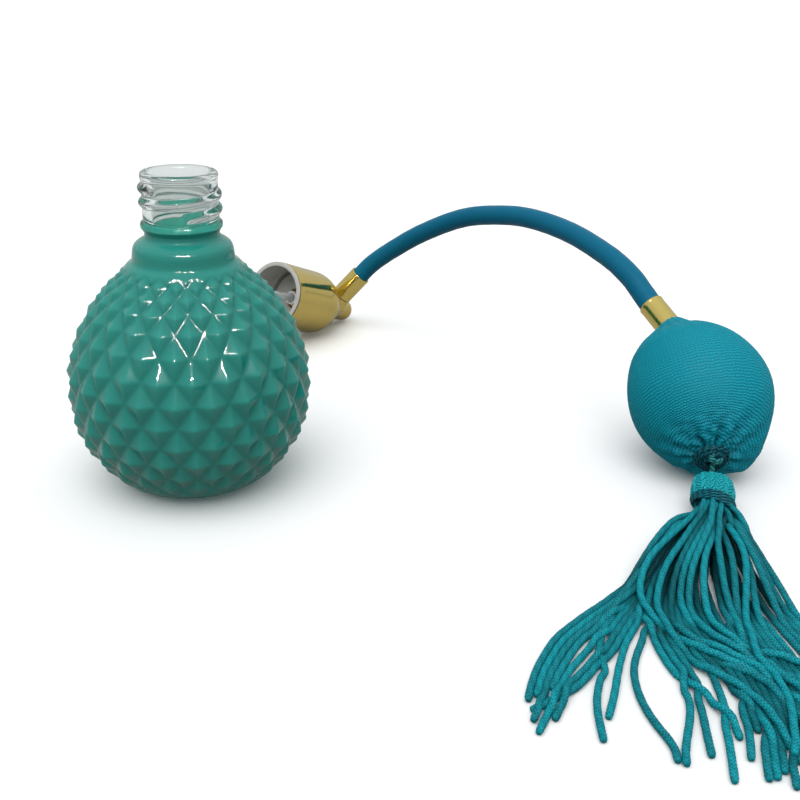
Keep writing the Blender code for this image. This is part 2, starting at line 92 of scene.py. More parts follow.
# Bottle: outside radius at a height, the facet rows, and the collar, neck, lip and inside. Most of the
# side's radii start from the same fit.
BOTTLE_SIDE = [(0, 15.0), (3, 21.6), (8, 26.9), (16, 32.1), (24, 34.0), (30, 34.2), (36, 33.9),
               (44, 31.5), (52, 27.3), (58, 22.7), (62, 18.4), (64, 16.3), (65.5, 14.9)]
FACET_ROWS = [4.2, 8, 12.5, 17.5, 23, 29, 35, 41, 47, 52.4, 56.5, 59.8, 62.5, 64.5]
FACET_COUNT = 22
FACET_TURN = 12.5 - 90
FACET_DEPTH = 1.9
FACET_STAND = 0.3
RIDGE_SOFT = 0.09
VALLEY_SOFT = 0.10
FOOT = [(9.0, 0.75), (12.6, 0.55), (13.6, 0.12), (14.3, 0.0), (15.2, 0.12), (16.6, 0.75), (19.4, 2.0)]
NECK_SIDE = [(65.3, 14.85), (66.0, 14.25), (67.0, 13.95), (68.2, 13.8), (69.2, 13.62), (70.2, 13.2),
             (71.0, 12.4), (71.7, 11.3), (72.3, 10.5), (73.0, 10.15), (73.8, 10.2), (74.5, 10.6),
             (75.1, 11.0), (75.7, 11.1), (76.3, 10.95), (76.9, 10.4), (77.6, 10.2)]
THREAD_ROOT = 10.2
THREAD_LOW = 79.0
THREAD_TURNS = 1.9
THREAD_PITCH = 3.8
THREAD_HEIGHT = 0.95
LIP_SIDE = [(10.25, 88.0), (10.4, 88.7), (10.32, 89.3), (9.95, 89.8), (9.3, 90.0), (8.6, 89.85),
            (8.1, 89.4), (7.85, 88.7), (7.8, 87.5)]
INSIDE = [(7.8, 84.0), (7.8, 80.0), (7.8, 76.0), (7.9, 72.4), (8.6, 68.0), (11.2, 64.4), (14.6, 60.6),
          (19.4, 56.0), (24.2, 48.0), (28.0, 38.0), (28.9, 28.0), (26.8, 18.0), (23.4, 11.0),
          (17.0, 7.2), (9.0, 5.7)]
PAINT_EDGE = 75.3
INSIDE_PAINT_EDGE = 75.4
SMOOTH_SHADE = 0.6

# Sprayer head, as distances along its axis from the cap's mouth.
CAP_R = 12.65
CAP_BORE = 12.15
DOME_AT = 20.5
DOME_TOP = 4.2
DOME_SWEEP = 72
BORE_TURNS = (1.5, 12)
ARM_ROLL = 54.0
ARM_AT = 37.5
NOZZLE_AT = 40.0
VENT_AT = 39.4
DIP_TUBE_R = 1.5
DIP_TUBE_BORE = 1.0
DIP_TUBE_AT = 12.5
DIP_TUBE_LENGTH = 81.5
DIP_TUBE_SAG = 14.0

# Hose, head to bulb. Its route follows points picked on the photograph at estimated heights.
HOSE_R = 3.55
HOSE_ROUTE = [(43.1, 137.2, 23.0), (47.6, 136.3, 27.9), (55.5, 132.2, 34.8), (67.4, 124.6, 43.9),
              (82.2, 112.6, 53.0), (95.0, 100.3, 57.3), (105.8, 88.1, 59.0), (117.7, 71.7, 58.0),
              (127.7, 55.2, 54.6), (133.2, 45.6, 50.9), (136.4, 40.2, 47.2), (138.55, 36.6, 44.55)]
HOSE_TUCK = 2.5
# The sleeves at the hose's ends: outer radius, bore radius, and where each starts and ends.
HEAD_SLEEVE = (4.2, 3.62, 7.4, 19.5)
BULB_SLEEVE = (3.95, 3.6, -0.9, 9.4)

# Bulb.
BULB_CENTRE = (151.0, 14.2, 22.6)
TO_HOSE = (-0.32, 0.63, 0.70)
NECK = (143.2, 29.6, 39.7)
TO_FERRULE = (-0.48, 0.72, 0.50)
TO_TAIL = (-0.02, -0.90, -0.43)
# Surfaces of the bulb: radius, half length, radius and overlap at the neck, radius and end of the tail.
COVER_OUTSIDE = (21.75, 23.3, 4.55, 0.9, 3.9, 24.6)
BLADDER_OUTSIDE = (19.2, 20.7, 3.0, 1.0, 2.6, 21.4)
BLADDER_INSIDE = (17.9, 19.4, 2.2, 1.0, 2.2, 21.4)
COVER_WALL = 0.45
NECK_SHOULDER = 3.2
HOSE_REACH = 1.6
WALES = 116
COURSE = 1.08
SLACK = -0.75
REST_HEIGHT = 0.25
COURSES = 58
STITCH_POINTS = 6
STITCH_LIFT = 0.27
# Where the cover is fuller or sits closer: how much, the angle round the bulb, the share of its
# length from the hose end, and how far round and along each reaches.
SAGS = [(-0.55, 0.2, 0.14, 0.8, 0.18), (0.60, 5.95, 0.56, 0.7, 0.20), (3.5, 4.95, 0.81, 0.62, 0.13),
        (1.4, 4.0, 0.83, 0.55, 0.12)]

# Tassel.
TASSEL_BACK = (150.4, -11.6, 6.9)
TASSEL_WAY = (-0.232, -0.972, -0.02)
STRAND_R = 0.88
STRAND_POINTS = 37
STRAND_SIDES = 16
FLARE = 0.34
KNOT_AT = (150.9, -9.5, 13.5)
SLUMP = 0.82
SLUMP_DROP = 1.0
# How much each point of a strand is darkened by painted shade from the strands over it.
SHADE_REACH = 5.5
SHADE_DEPTH = 0.95
# How the strands settle in each step: the fall, the pull back to the drawn route, the smoothing, the
# push between two that touch, and how far it lifts the later one.
SETTLE_STEPS = 150
FALL = 0.16
PULL_BACK = 0.08
SMOOTHING = 0.18
PUSH = 0.45
UPWARDS = 0.5
# Roots: how widely they spread, how many share a column, and the turn between one and the next.
ROOT_SPREAD = 4.2
ROOT_GROUP = 6
ROOT_TURN = 2.39996
STRAND_LENGTH = 100.0
# Strands as routes from the binding towards the tip, in the order that they lie on each other. Their
# points were picked by eye on the photograph at estimated heights, and a separate script turned them
# into millimetres with the camera above.
STRAND_ROUTES = {
    "low_left": [(135.5, -41.4, 3), (127.7, -57.1, 2.5), (123.6, -70.2, 2), (123.4, -80.5, 1.5),
        (125, -90.3, 1.3), (124.7, -100.3, 1.2), (123.5, -109.5, 1.2), (122, -124, 1.2)],
    "low_middle": [(139.2, -41.2, 3), (133.7, -56.9, 2.5), (131.5, -69.9, 2), (132.3, -80.9, 2),
        (134.2, -90.4, 1.6), (134.3, -100.2, 1.4), (132.5, -109.2, 1.2), (128.3, -124.8, 1.2)],
    "low_right": [(142.9, -41.1, 3), (140.3, -56.6, 2.5), (139.6, -69.6, 2), (140.1, -80.6, 2),
        (140.8, -90.2, 1.6), (141.6, -99.9, 1.4), (140.6, -109, 1.2), (136.5, -124.6, 1.2)],
    "tip_left": [(130.7, -46.6, 5), (122.8, -60.3, 4), (117.8, -68.5, 3), (113, -76.9, 2.4),
        (108, -84.8, 1.8), (104.1, -90, 1.4), (100.2, -95.2, 1.2), (95.3, -99.7, 1.2), (91.5, -103.3, 1.2),
        (89.4, -105.6, 1.2)],
    "looped": [(133.5, -41.8, 5), (126.2, -54, 4), (122.1, -64.1, 3.5), (119.9, -72.7, 2.5),
        (117.3, -79.3, 1.5), (114.2, -85.6, 1.2), (112.2, -92.1, 1.2), (112, -100.7, 1.2),
        (113.6, -108.7, 1.2), (116.3, -114.4, 1.2), (116.4, -118.8, 1.2)],
    "short": [(132.2, -42.7, 5.5), (125.2, -53.8, 5), (120.5, -62.3, 4.5), (116.4, -71.1, 3.5),
        (113.2, -78.5, 2.5), (111.4, -84.7, 1.5), (109.1, -91.5, 1.2), (107.1, -98.9, 1.2),
        (104.4, -106.6, 1.2)],
    "straight": [(131.4, -41.5, 6), (123.3, -52.8, 5.5), (117.7, -61.4, 5), (112.1, -68.7, 4),
        (108.6, -75.5, 3), (106.7, -81.8, 2), (105.7, -88.2, 1.3), (104.3, -95.1, 1.2),
        (102.4, -102.9, 1.2), (102.2, -113.7, 1.2)],
    "fourth": [(132.7, -42.5, 6), (125.9, -52.7, 5.5), (120.6, -61.3, 5), (116, -70.2, 4),
        (110.6, -80.1, 3), (105.7, -87.7, 2), (101.9, -92.6, 1.3), (96.8, -98.6, 1.2), (93.3, -107.6, 1.2)],
    "third": [(133.7, -38.2, 6.5), (127.2, -48.5, 6.5), (121.8, -57.4, 6), (115.2, -66.7, 5),
        (110, -72.1, 4), (104.6, -77.2, 3), (100.1, -83.6, 2), (96.1, -90.7, 1.3), (93.1, -97.5, 1.2)],
    "second": [(132.9, -38.7, 8), (127.3, -47.1, 8), (121.4, -56.1, 7.5), (113.8, -65.6, 6.5),
        (108.7, -71.1, 5.5), (102.8, -76.4, 4), (98.2, -82, 3), (95.1, -88.1, 2), (92.8, -94.3, 1.3),
        (91, -100.8, 1.2)],
    "outer": [(132.5, -37.5, 8.5), (126.8, -46.3, 9), (120.3, -55.9, 8.5), (112.5, -64.6, 7.5),
        (107.3, -70.1, 6.5), (101.6, -75.1, 5), (96.8, -80.5, 3.5), (93.7, -86.7, 2), (91.3, -94.3, 1.3),
        (89.2, -102.1, 1.2)],
    "under_bend": [(134.1, -41.8, 5), (124.8, -55.7, 5), (121.1, -64, 4.5), (119.1, -73.3, 4),
        (119.4, -81.2, 3), (121, -90, 2.5), (124, -96.1, 2), (126.8, -101.2, 2), (129.5, -106.7, 1.5),
        (129.7, -111.8, 1.3)],
    "under_tip": [(135.2, -42.1, 4), (127.3, -55.8, 4), (123.7, -65.8, 3.5), (122.4, -75, 3),
        (122, -82, 2.5), (122.9, -89.9, 2), (123.1, -96.1, 1.5), (122.5, -102.4, 1.3), (120.5, -108.4, 1.2),
        (117.5, -116.1, 1.2), (115.1, -122.6, 1.2)],
    "under_left": [(138.3, -41.6, 5), (131.8, -55.4, 5), (128.7, -64.5, 4.5), (127.7, -74.6, 4),
        (128.6, -83.8, 4), (130.9, -90.2, 3.5), (133.3, -95.7, 3), (134.4, -102.2, 2.5), (134.3, -109.5, 2),
        (133.6, -115.9, 1.5), (132.1, -121.7, 1.3)],
    "under_middle": [(142, -41.4, 5), (136.8, -57, 5), (135, -69.3, 5), (136.1, -78.9, 4.5),
        (137.9, -87.1, 4), (138.7, -94.8, 3), (138.8, -102.6, 2.5), (137.7, -110, 2), (136, -116.9, 1.5),
        (134.1, -123.7, 1.3)],
    "under_right": [(144.6, -41.3, 5), (143.3, -56.7, 5), (143.2, -68.9, 5), (144.2, -79.4, 4.5),
        (145.7, -87.5, 4), (146, -95.9, 3.5), (145.5, -103.7, 2.5), (143, -113.3, 2)],
    "under_edge": [(147.3, -41.2, 5), (147.8, -56.5, 5), (149.4, -68.7, 5), (151.4, -78.3, 4.5),
        (152.8, -87.3, 4)],
    "sweep": [(129.5, -45.6, 9.5), (122.7, -53.8, 9), (119.6, -59.7, 8.5), (119.1, -66, 8), (121, -73.5, 8),
        (124.8, -78.9, 8), (129.3, -84.1, 8), (134.5, -89.1, 8), (140.9, -92.4, 7.5), (146.5, -95, 7),
        (150.8, -95.5, 6)],
    "bow_left": [(134.2, -45.4, 9.5), (127.3, -55.4, 9.5), (123.2, -63.9, 9), (122, -71.7, 8.5),
        (122.9, -79, 8), (124.9, -84.4, 7), (127, -88.8, 6), (130.4, -92.9, 5), (134.3, -97.6, 4),
        (137.3, -103.3, 3), (138.4, -109.4, 2)],
    "bow_second": [(135.7, -47.2, 10), (129.3, -57.1, 10), (126.4, -64.5, 9.5), (126, -71.5, 9),
        (127, -78.8, 8.5), (130, -84.9, 7.5), (133.8, -89.2, 6.5), (138.2, -92.6, 5), (141.4, -98, 4),
        (142.7, -104.4, 3), (142.6, -111, 2)],
    "bow_third": [(140.1, -43.8, 10.5), (134.2, -54.9, 10.5), (130.9, -63.4, 10), (130.1, -71.2, 9.5),
        (132, -78.5, 9), (135.5, -82.3, 8.5), (139.6, -86.7, 8), (143.9, -90.2, 7), (147.1, -93.6, 6.5),
        (150.1, -97.6, 5.5)],
    "bow_fourth": [(141.7, -42.8, 10), (137.2, -53, 10), (134.3, -63.2, 10), (133.7, -71.9, 9.5),
        (135.4, -77.6, 9), (138.7, -82.2, 8.5), (143.2, -85.1, 8), (147.9, -87.1, 7.5), (151.5, -90.6, 7)],
    "over_middle": [(142.7, -42.8, 10), (140.7, -54.7, 10), (139.9, -64.8, 9.5), (139.8, -73.4, 9),
        (140.5, -80.6, 8.5), (141.6, -87.3, 8), (143.6, -92.3, 7), (146.2, -96.4, 6)],
    "over_right": [(146.7, -40.5, 10), (147.7, -49.6, 10), (146.3, -59.1, 10), (143.4, -69, 9.5),
        (141.6, -78.1, 9), (140.7, -85.9, 8), (142.1, -91.7, 7), (143.1, -97.2, 5), (142.7, -103.1, 3.5),
        (140.9, -109.9, 2.5)],
    "right_second": [(148.5, -41.5, 10), (149.5, -50.6, 9.5), (149.8, -61, 9), (151.1, -68.9, 8.5),
        (152.9, -76.2, 8), (154.6, -83.2, 7)],
    "right_edge": [(151.2, -38.9, 8), (151.7, -49, 8), (153.3, -58.5, 7.5), (155.4, -68.1, 7),
        (157.5, -77.1, 6)],
}
# Strands that lie between two others: their names and how much higher or lower they lie.
BETWEEN = [("low_left", "low_middle", 0.0), ("low_middle", "low_right", 0.0),
           ("low_right", "under_edge", -1.0), ("third", "fourth", -1.0), ("second", "third", -0.5),
           ("under_left", "under_middle", 0.0), ("under_right", "under_edge", 0.0),
           ("bow_second", "bow_third", 0.0),
           ("over_middle", "over_right", -1.0), ("over_right", "right_second", -1.5),
           ("right_second", "right_edge", 0.0), ("under_middle", "under_right", -0.5),
           ("under_edge", "right_edge", -2.0)]
# Strands whose route is drawn to the very tip.
WHOLE = ("outer", "second", "third", "fourth", "tip_left", "straight", "short", "looped")
STRAND_CAD = ["tassel_skirt", "tassel_strand_outer", "tassel_strand_second", "tassel_strand_third",
              "tassel_strand_short", "tassel_strand_looped"]


# ---- camera, floor and light ----

def place_camera():
    camera = bpy.data.objects.new("camera", bpy.data.cameras.new("camera"))
    bpy.context.scene.collection.objects.link(camera)
    turn = Matrix((CAMERA_RIGHT, CAMERA_UP, CAMERA_BACK)).transposed().to_4x4()
    camera.matrix_world = Matrix.Translation(Vector(CAMERA_AT) * MM) @ turn
    camera.data.lens = CAMERA_LENS
    camera.data.sensor_width = CAMERA_SENSOR
    camera.data.clip_start = 0.01
    bpy.context.scene.camera = camera


def add_light(name, kind, energy):
    light = bpy.data.lights.new(name, kind)
    light.energy = energy
    made = bpy.data.objects.new(name, light)
    bpy.context.scene.collection.objects.link(made)
    return made


def studio_world():
    """Bright above, softer at the horizon and dim below, as in a light tent with an open front."""
    world = bpy.data.worlds.new("studio")
    bpy.context.scene.world = world
    world.use_nodes = True
    tree = world.node_tree
    where = tree.nodes.new("ShaderNodeTexCoord")
    split = tree.nodes.new("ShaderNodeSeparateXYZ")
    ramp = tree.nodes.new("ShaderNodeValToRGB")
    level = tree.nodes.new("ShaderNodeMapRange")
    level.inputs["From Min"].default_value = -1.0
    tree.links.new(where.outputs["Generated"], split.inputs["Vector"])
    tree.links.new(split.outputs["Z"], level.inputs["Value"])
    tree.links.new(level.outputs["Result"], ramp.inputs["Fac"])
    tree.links.new(ramp.outputs["Color"], tree.nodes["Background"].inputs["Color"])
    ramp.color_ramp.elements[0].position = WORLD_BAND[0]
    ramp.color_ramp.elements[0].color = (*WORLD_BELOW, 1.0)
    ramp.color_ramp.elements[1].position = 1.0
    ramp.color_ramp.elements[1].color = (*WORLD_ABOVE, 1.0)
    ramp.color_ramp.elements.new(WORLD_BAND[1]).color = (*WORLD_LEVEL, 1.0)


def light_scene():
    studio_world()
    sun = add_light("soft_sun", "SUN", SUN_STRENGTH)
    sun.data.angle = radians(SUN_SPREAD)
    sun.rotation_euler = Vector(SUN_FROM).to_track_quat("Z", "Y").to_euler()
    sun.visible_glossy = False
    strip = add_light("strip", "AREA", STRIP_POWER)
    strip.data.shape = "RECTANGLE"
    strip.data.size, strip.data.size_y = STRIP_SIZE
    strip.location = STRIP_AT
    strip.rotation_euler = (Vector(STRIP_TOWARDS) - Vector(STRIP_AT)).to_track_quat("-Z", "Y").to_euler()
    strip.visible_diffuse = False
    bpy.context.scene.view_settings.view_transform = "Standard"


def level_sheet(name, height):
    mesh = bpy.data.meshes.new(name)
    corners = [(x * FLOOR_HALF, y * FLOOR_HALF, height) for x, y in ((-1, -1), (1, -1), (1, 1), (-1, 1))]
    mesh.from_pydata(corners, [], [(0, 1, 2, 3)])
    sheet = bpy.data.objects.new(name, mesh)
    bpy.context.scene.collection.objects.link(sheet)
    return sheet


def lay_floor():
    """A white floor, and on it a dimmer sheet that only polished surfaces reflect."""
    floor = level_sheet("floor", 0.0)
    floor.data.materials.append(Look("floor_white", FLOOR_WHITE, 1.0, Specular_IOR_Level=0.0).material)
    floor.visible_diffuse = False
    floor.visible_glossy = False
    sheen = level_sheet("table_glow", TABLE_SHEEN_AT)
    sheen.data.materials.append(Look("table_glow", TABLE_SHEEN, 1.0, Specular_IOR_Level=0.0).material)
    sheen.visible_camera = False
    sheen.visible_diffuse = False
    sheen.visible_shadow = False
    sheen.visible_transmission = False


# ---- materials ----

YARN_ROUGH = 0.6
PLAITS = 6
PLAIT_LAY = 0.95


class Look:
    """A Principled material whose colour, roughness and bump come from small chains of nodes."""

    def __init__(self, name, colour, roughness, **sockets):
        self.material = bpy.data.materials.new(name)
        self.material.use_nodes = True
        self.tree = self.material.node_tree
        self.shader = self.tree.nodes["Principled BSDF"]
        self.shader.inputs["Base Color"].default_value = (*colour, 1.0)
        self.shader.inputs["Roughness"].default_value = roughness
        for socket, value in sockets.items():
            self.shader.inputs[socket.replace("_", " ")].default_value = value
        self.where = None
        self.normal = None

    def node(self, kind, **inputs):
        made = self.tree.nodes.new(kind)
        for socket, value in inputs.items():
            made.inputs[socket.replace("_", " ")].default_value = value
        return made

    def link(self, start, end):
        self.tree.links.new(start, end)

    def noise(self, scale, detail):
        if self.where is None:
            self.where = self.node("ShaderNodeTexCoord").outputs["Object"]
        made = self.node("ShaderNodeTexNoise", Scale=scale, Detail=detail)
        self.link(self.where, made.inputs["Vector"])
        return made.outputs["Fac"]

    def attribute(self, name):
        made = self.node("ShaderNodeAttribute")
        made.attribute_name = name
        return made.outputs["Fac"]

    def remap(self, value, low, high, start, end):
        made = self.node("ShaderNodeMapRange")
        for socket, number in zip(("From Min", "From Max", "To Min", "To Max"), (low, high, start, end)):
            made.inputs[socket].default_value = number
        self.link(value, made.inputs["Value"])
        return made.outputs["Result"]

    def colours(self, value, dark, light, middle=None):
        """The base colour runs from dark to light with a value from 0 to 1."""
        ramp = self.node("ShaderNodeValToRGB")
        ramp.color_ramp.elements[0].color = (*dark, 1.0)
        ramp.color_ramp.elements[1].color = (*light, 1.0)
        if middle:
            ramp.color_ramp.elements.new(0.5).color = (*middle, 1.0)
        self.link(value, ramp.inputs["Fac"])
        self.link(ramp.outputs["Color"], self.shader.inputs["Base Color"])
        return ramp.outputs["Color"]

    def tint(self, colour, value, dark):
        """Multiplies a colour by a grey that runs from dark to 1 with a value, and uses it."""
        grey = self.remap(value, 0.0, 1.0, dark, 1.0)
        mix = self.node("ShaderNodeMix")
        mix.data_type = "RGBA"
        mix.blend_type = "MULTIPLY"
        mix.inputs["Factor"].default_value = 1.0
        self.link(colour, mix.inputs[6])
        self.link(grey, mix.inputs[7])
        self.link(mix.outputs[2], self.shader.inputs["Base Color"])
        return mix.outputs[2]

    def math(self, operation, *values):
        made = self.node("ShaderNodeMath")
        made.operation = operation
        for socket, value in zip(made.inputs, values):
            if isinstance(value, (int, float)):
                socket.default_value = value
            else:
                self.link(value, socket)
        return made.outputs[0]

    def braid(self, plaits, lay):
        """Two sets of plaits that cross, over a tube's turn (0 to 1) and its run in mm."""
        place = self.node("ShaderNodeUVMap")
        split = self.node("ShaderNodeSeparateXYZ")
        self.link(place.outputs["UV"], split.inputs["Vector"])
        around = self.math("MULTIPLY", split.outputs["X"], plaits * tau)
        along = self.math("MULTIPLY", split.outputs["Y"], tau / lay)
        one = self.math("COSINE", self.math("ADD", around, along))
        two = self.math("COSINE", self.math("SUBTRACT", around, along))
        most = self.math("MAXIMUM", one, two)
        return self.math("MULTIPLY_ADD", most, 0.5, 0.5)

    def bump(self, value, distance, strength):
        made = self.node("ShaderNodeBump", Strength=strength, Distance=distance)
        self.link(value, made.inputs["Height"])
        if self.normal is not None:
            self.link(self.normal, made.inputs["Normal"])
        self.normal = made.outputs["Normal"]
        self.link(self.normal, self.shader.inputs["Normal"])

    def finish(self, rough, bump):
        """Roughness as (scale, detail, low, high) and bump as (scale, detail, distance, strength)."""
        scale, detail, low, high = rough
        uneven = self.remap(self.noise(scale, detail), 0.3, 0.7, low, high)
        self.link(uneven, self.shader.inputs["Roughness"])
        scale, detail, distance, strength = bump
        self.bump(self.noise(scale, detail), distance, strength)
        return self.material


def lacquer():
    look = Look("turquoise_lacquer", (0.02, 0.27, 0.21), 0.3, Coat_Weight=0.60, Coat_Roughness=0.01,
                Specular_IOR_Level=0.05)
    colour = look.colours(look.attribute("relief"), (0.008, 0.205, 0.168), (0.022, 0.290, 0.240))
    look.tint(colour, look.noise(45.0, 3.0), 0.90)
    return look.finish((160.0, 3.0, 0.20, 0.32), (420.0, 2.0, 0.00012, 0.06))


def inner_paint_glow():
    """The lacquer as seen through the glass from the inside, with painted light: it glows to stand in for
    daylight coming through it.
    """
    look = Look("inner_paint_glow", (0.03, 0.36, 0.29), 0.5, Emission_Strength=0.42)
    look.shader.inputs["Emission Color"].default_value = (0.02, 0.40, 0.31, 1.0)
    look.colours(look.noise(60.0, 2.0), (0.02, 0.30, 0.24), (0.03, 0.36, 0.29))
    return look.finish((160.0, 3.0, 0.40, 0.55), (420.0, 2.0, 0.0001, 0.1))


def clear_glass():
    look = Look("clear_glass", (0.63, 0.665, 0.65), 0.02, Transmission_Weight=1.0, IOR=1.45)
    return look.finish((90.0, 2.0, 0.03, 0.10), (130.0, 2.0, 0.0004, 0.20))


def gold(name, roughness=0.13):
    look = Look(name, (0.55, 0.43, 0.12), roughness, Metallic=1.0)
    look.colours(look.noise(70.0, 3.0), (0.56, 0.44, 0.135), (0.64, 0.50, 0.160))
    return look.finish((900.0, 4.0, roughness * 0.75, roughness * 1.4), (240.0, 3.0, 0.00006, 0.15))


def plastic(name, colour, roughness=0.42):
    look = Look(name, colour, roughness, Subsurface_Weight=0.15, Subsurface_Scale=0.0015)
    base = look.colours(look.noise(60.0, 3.0), tuple(c * 0.95 for c in colour), colour)
    look.tint(base, look.noise(500.0, 3.0), 0.90)
    return look.finish((400.0, 2.0, roughness * 0.85, roughness * 1.15), (1500.0, 2.0, 0.00003, 0.3))


def steel(name, colour, roughness):
    look = Look(name, colour, roughness, Metallic=1.0)
    return look.finish((1200.0, 3.0, roughness * 0.7, roughness * 1.4), (1800.0, 2.0, 0.00002, 0.2))


def tubing(name, dark, light, roughness):
    look = Look(name, light, roughness, Specular_IOR_Level=0.09)
    base = look.colours(look.noise(18.0, 2.0), dark, light)
    look.tint(base, look.noise(700.0, 4.0), 0.86)
    return look.finish((300.0, 3.0, roughness * 0.8, roughness * 1.2), (1300.0, 3.0, 0.00006, 0.35))


def yarn(name, dark, middle, light, fibre=3000.0, strand=False):
    """Thread: the colour follows the relief of the weave, with painted shade in its grooves and painted
    highlight on its raised parts, and plaits and fine fibres over it.
    """
    look = Look(name, middle, YARN_ROUGH, Sheen_Weight=0.02, Sheen_Roughness=0.4, Specular_IOR_Level=0.08)
    look.shader.inputs["Sheen Tint"].default_value = (0.35, 0.90, 1.0, 1.0)
    relief = look.attribute("relief")
    if strand:
        weave = look.braid(PLAITS, PLAIT_LAY)
        relief = look.math("MULTIPLY_ADD", weave, 0.65, look.math("MULTIPLY", relief, 0.35))
        look.bump(weave, 0.00010, 0.8)
    # Painted shade and highlight: the colour runs from dark in the grooves to light on the raised parts.
    base = look.colours(relief, dark, light, middle)
    base = look.tint(base, look.noise(40.0, 3.0), 0.80)
    if strand:
        # Painted shade: darker where other strands lie over it.
        base = look.tint(base, look.attribute("open"), 0.10)
    look.tint(base, look.noise(fibre, 3.0), 0.72)
    return look.finish((900.0, 2.0, YARN_ROUGH * 0.8, YARN_ROUGH * 1.15), (fibre, 2.0, 0.00008, 0.6))


# ---- lines and meshes ----

def vector(values):
    return np.array(values, float)


def unit(values):
    values = vector(values)
    return values / np.linalg.norm(values)


def circle(count):
    return np.linspace(0, tau, count, endpoint=False)


def distances(points):
    """How far along a line each of its points is."""
    return np.concatenate([[0], np.cumsum(np.linalg.norm(np.diff(points, axis=0), axis=1))])


def resample(values, run, want):
    return np.column_stack([np.interp(want, run, values[:, k]) for k in range(values.shape[1])])


def ring_spokes(angle, side, up):
    """Directions from each point of a line to its ring, from two cross directions a point."""
    return np.cos(angle)[None, :, None] * side[:, None, :] + np.sin(angle)[None, :, None] * up[:, None, :]


def smooth_line(points, count):
    """Evenly spaced points on one smooth curve through the given ones."""
    stops = np.array(points, float)
    stops = np.vstack([2 * stops[0] - stops[1], stops, 2 * stops[-1] - stops[-2]])
    t = np.linspace(0, 1, 24, endpoint=False)[:, None]
    parts = []
    for a, b, c, d in zip(stops, stops[1:], stops[2:], stops[3:]):
        parts.append(0.5 * (2 * b + (c - a) * t + (2 * a - 5 * b + 4 * c - d) * t ** 2
                            + (3 * b - a - 3 * c + d) * t ** 3))
    fine = np.vstack(parts + [stops[-2:-1]])
    run = distances(fine)
    return resample(fine, run, np.linspace(0, run[-1], count))


def line_length(points):
    return float(np.linalg.norm(np.diff(points, axis=0), axis=1).sum())


def frames_along(path):
    """Two cross directions at each point of a path, which turn as little as they can along it."""
    tangent = np.gradient(path, axis=0)
    tangent /= np.linalg.norm(tangent, axis=1)[:, None]
    side = np.empty_like(path)
    guess = np.array([0.0, 0.0, 1.0]) if abs(tangent[0][2]) < 0.9 else np.array([1.0, 0.0, 0.0])
    for k, way in enumerate(tangent):
        guess = guess - way * (guess @ way)
        guess = guess / np.linalg.norm(guess)
        side[k] = guess
    return side, np.cross(tangent, side)


def grid_mesh(name, points, looks, looped=False, relief=None, pick=None, run=None):
    """A closed piece from rows of points in mm: each row is a ring, and end rings are capped."""
    rows, columns = points.shape[:2]
    vertices = points.reshape(-1, 3) * MM
    down = np.arange(rows if looped else rows - 1)
    ring = np.arange(columns)
    after = (ring + 1) % columns
    upper, lower = down[:, None] * columns, ((down + 1) % rows)[:, None] * columns
    quads = np.column_stack([(level + side).ravel() for level, side in
                             ((upper, ring), (upper, after), (lower, after), (lower, ring))])
    if run is not None:
        turn = np.tile(ring, len(down)) / columns
        start, end = np.repeat(run[down], columns), np.repeat(run[(down + 1) % rows], columns)
        places = np.stack([np.column_stack([turn, start]), np.column_stack([turn + 1 / columns, start]),
                           np.column_stack([turn + 1 / columns, end]), np.column_stack([turn, end])], axis=1)
    fans = np.empty((0, 3), int)
    if not looped:
        last = (rows - 1) * columns
        vertices = np.vstack([vertices, points[0].mean(axis=0) * MM, points[-1].mean(axis=0) * MM])
        first = rows * columns
        fans = np.vstack([np.column_stack([after, ring, np.full(columns, first)]),
                          np.column_stack([last + ring, last + after, np.full(columns, first + 1)])])
    centre = vertices.mean(axis=0)
    shape = vertices - centre
    volume = 0.0
    for one, two, three in ((quads[:, 0], quads[:, 1], quads[:, 2]), (quads[:, 0], quads[:, 2], quads[:, 3])):
        volume += np.einsum("ij,ij->i", shape[one], np.cross(shape[two], shape[three])).sum()
    if volume < 0:
        quads = quads[:, ::-1]
        fans = fans[:, ::-1]
        if run is not None:
            places = places[:, ::-1]
    mesh = bpy.data.meshes.new(name)
    mesh.vertices.add(len(vertices))
    mesh.vertices.foreach_set("co", vertices.astype(np.float32).ravel())
    loops = np.concatenate([quads.ravel(), fans.ravel()]).astype(np.int32)
    mesh.loops.add(len(loops))
    mesh.loops.foreach_set("vertex_index", loops)
    starts = np.concatenate([np.arange(len(quads)) * 4, len(quads) * 4 + np.arange(len(fans)) * 3])
    mesh.polygons.add(len(starts))
    mesh.polygons.foreach_set("loop_start", starts.astype(np.int32))
    for look in looks:
        mesh.materials.append(look)
    if pick is not None:
        chosen = np.zeros(len(starts), np.int32)
        chosen[:len(quads)] = pick.ravel()[:len(quads)]
        mesh.polygons.foreach_set("material_index", chosen)
    mesh.update(calc_edges=True)
    mesh.validate()
    if relief is not None:
        values = np.zeros(len(vertices), np.float32)
        values[:rows * columns] = np.clip(relief, 0, 1).ravel()
        mesh.attributes.new("relief", "FLOAT", "POINT").data.foreach_set("value", values)
    if run is not None:
        flat = np.zeros((len(loops), 2), np.float32)
        flat[:len(quads) * 4] = places.reshape(-1, 2)
        mesh.uv_layers.new(name="thread").data.foreach_set("uv", flat.ravel())
    mesh.shade_smooth()
    made = bpy.data.objects.new(name, mesh)
    bpy.context.scene.collection.objects.link(made)
    return made


def hand_over(piece, body, slot, *nodes):
    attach(piece, body)
    if nodes:
        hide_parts(*nodes)


def sharpen(piece, degrees=50):
    piece.data.set_sharp_from_angle(angle=radians(degrees))
    return piece


def turn_rings(outline, origin, axes, columns=96):
    """Rings of an outline of (radius, height) turned about the third of three axes."""
    outline = np.array(outline, float)
    x, y, z = axes
    spokes = ring_spokes(circle(columns), x[None, :], y[None, :])
    return vector(origin) + outline[:, 1][:, None, None] * z + outline[:, 0][:, None, None] * spokes


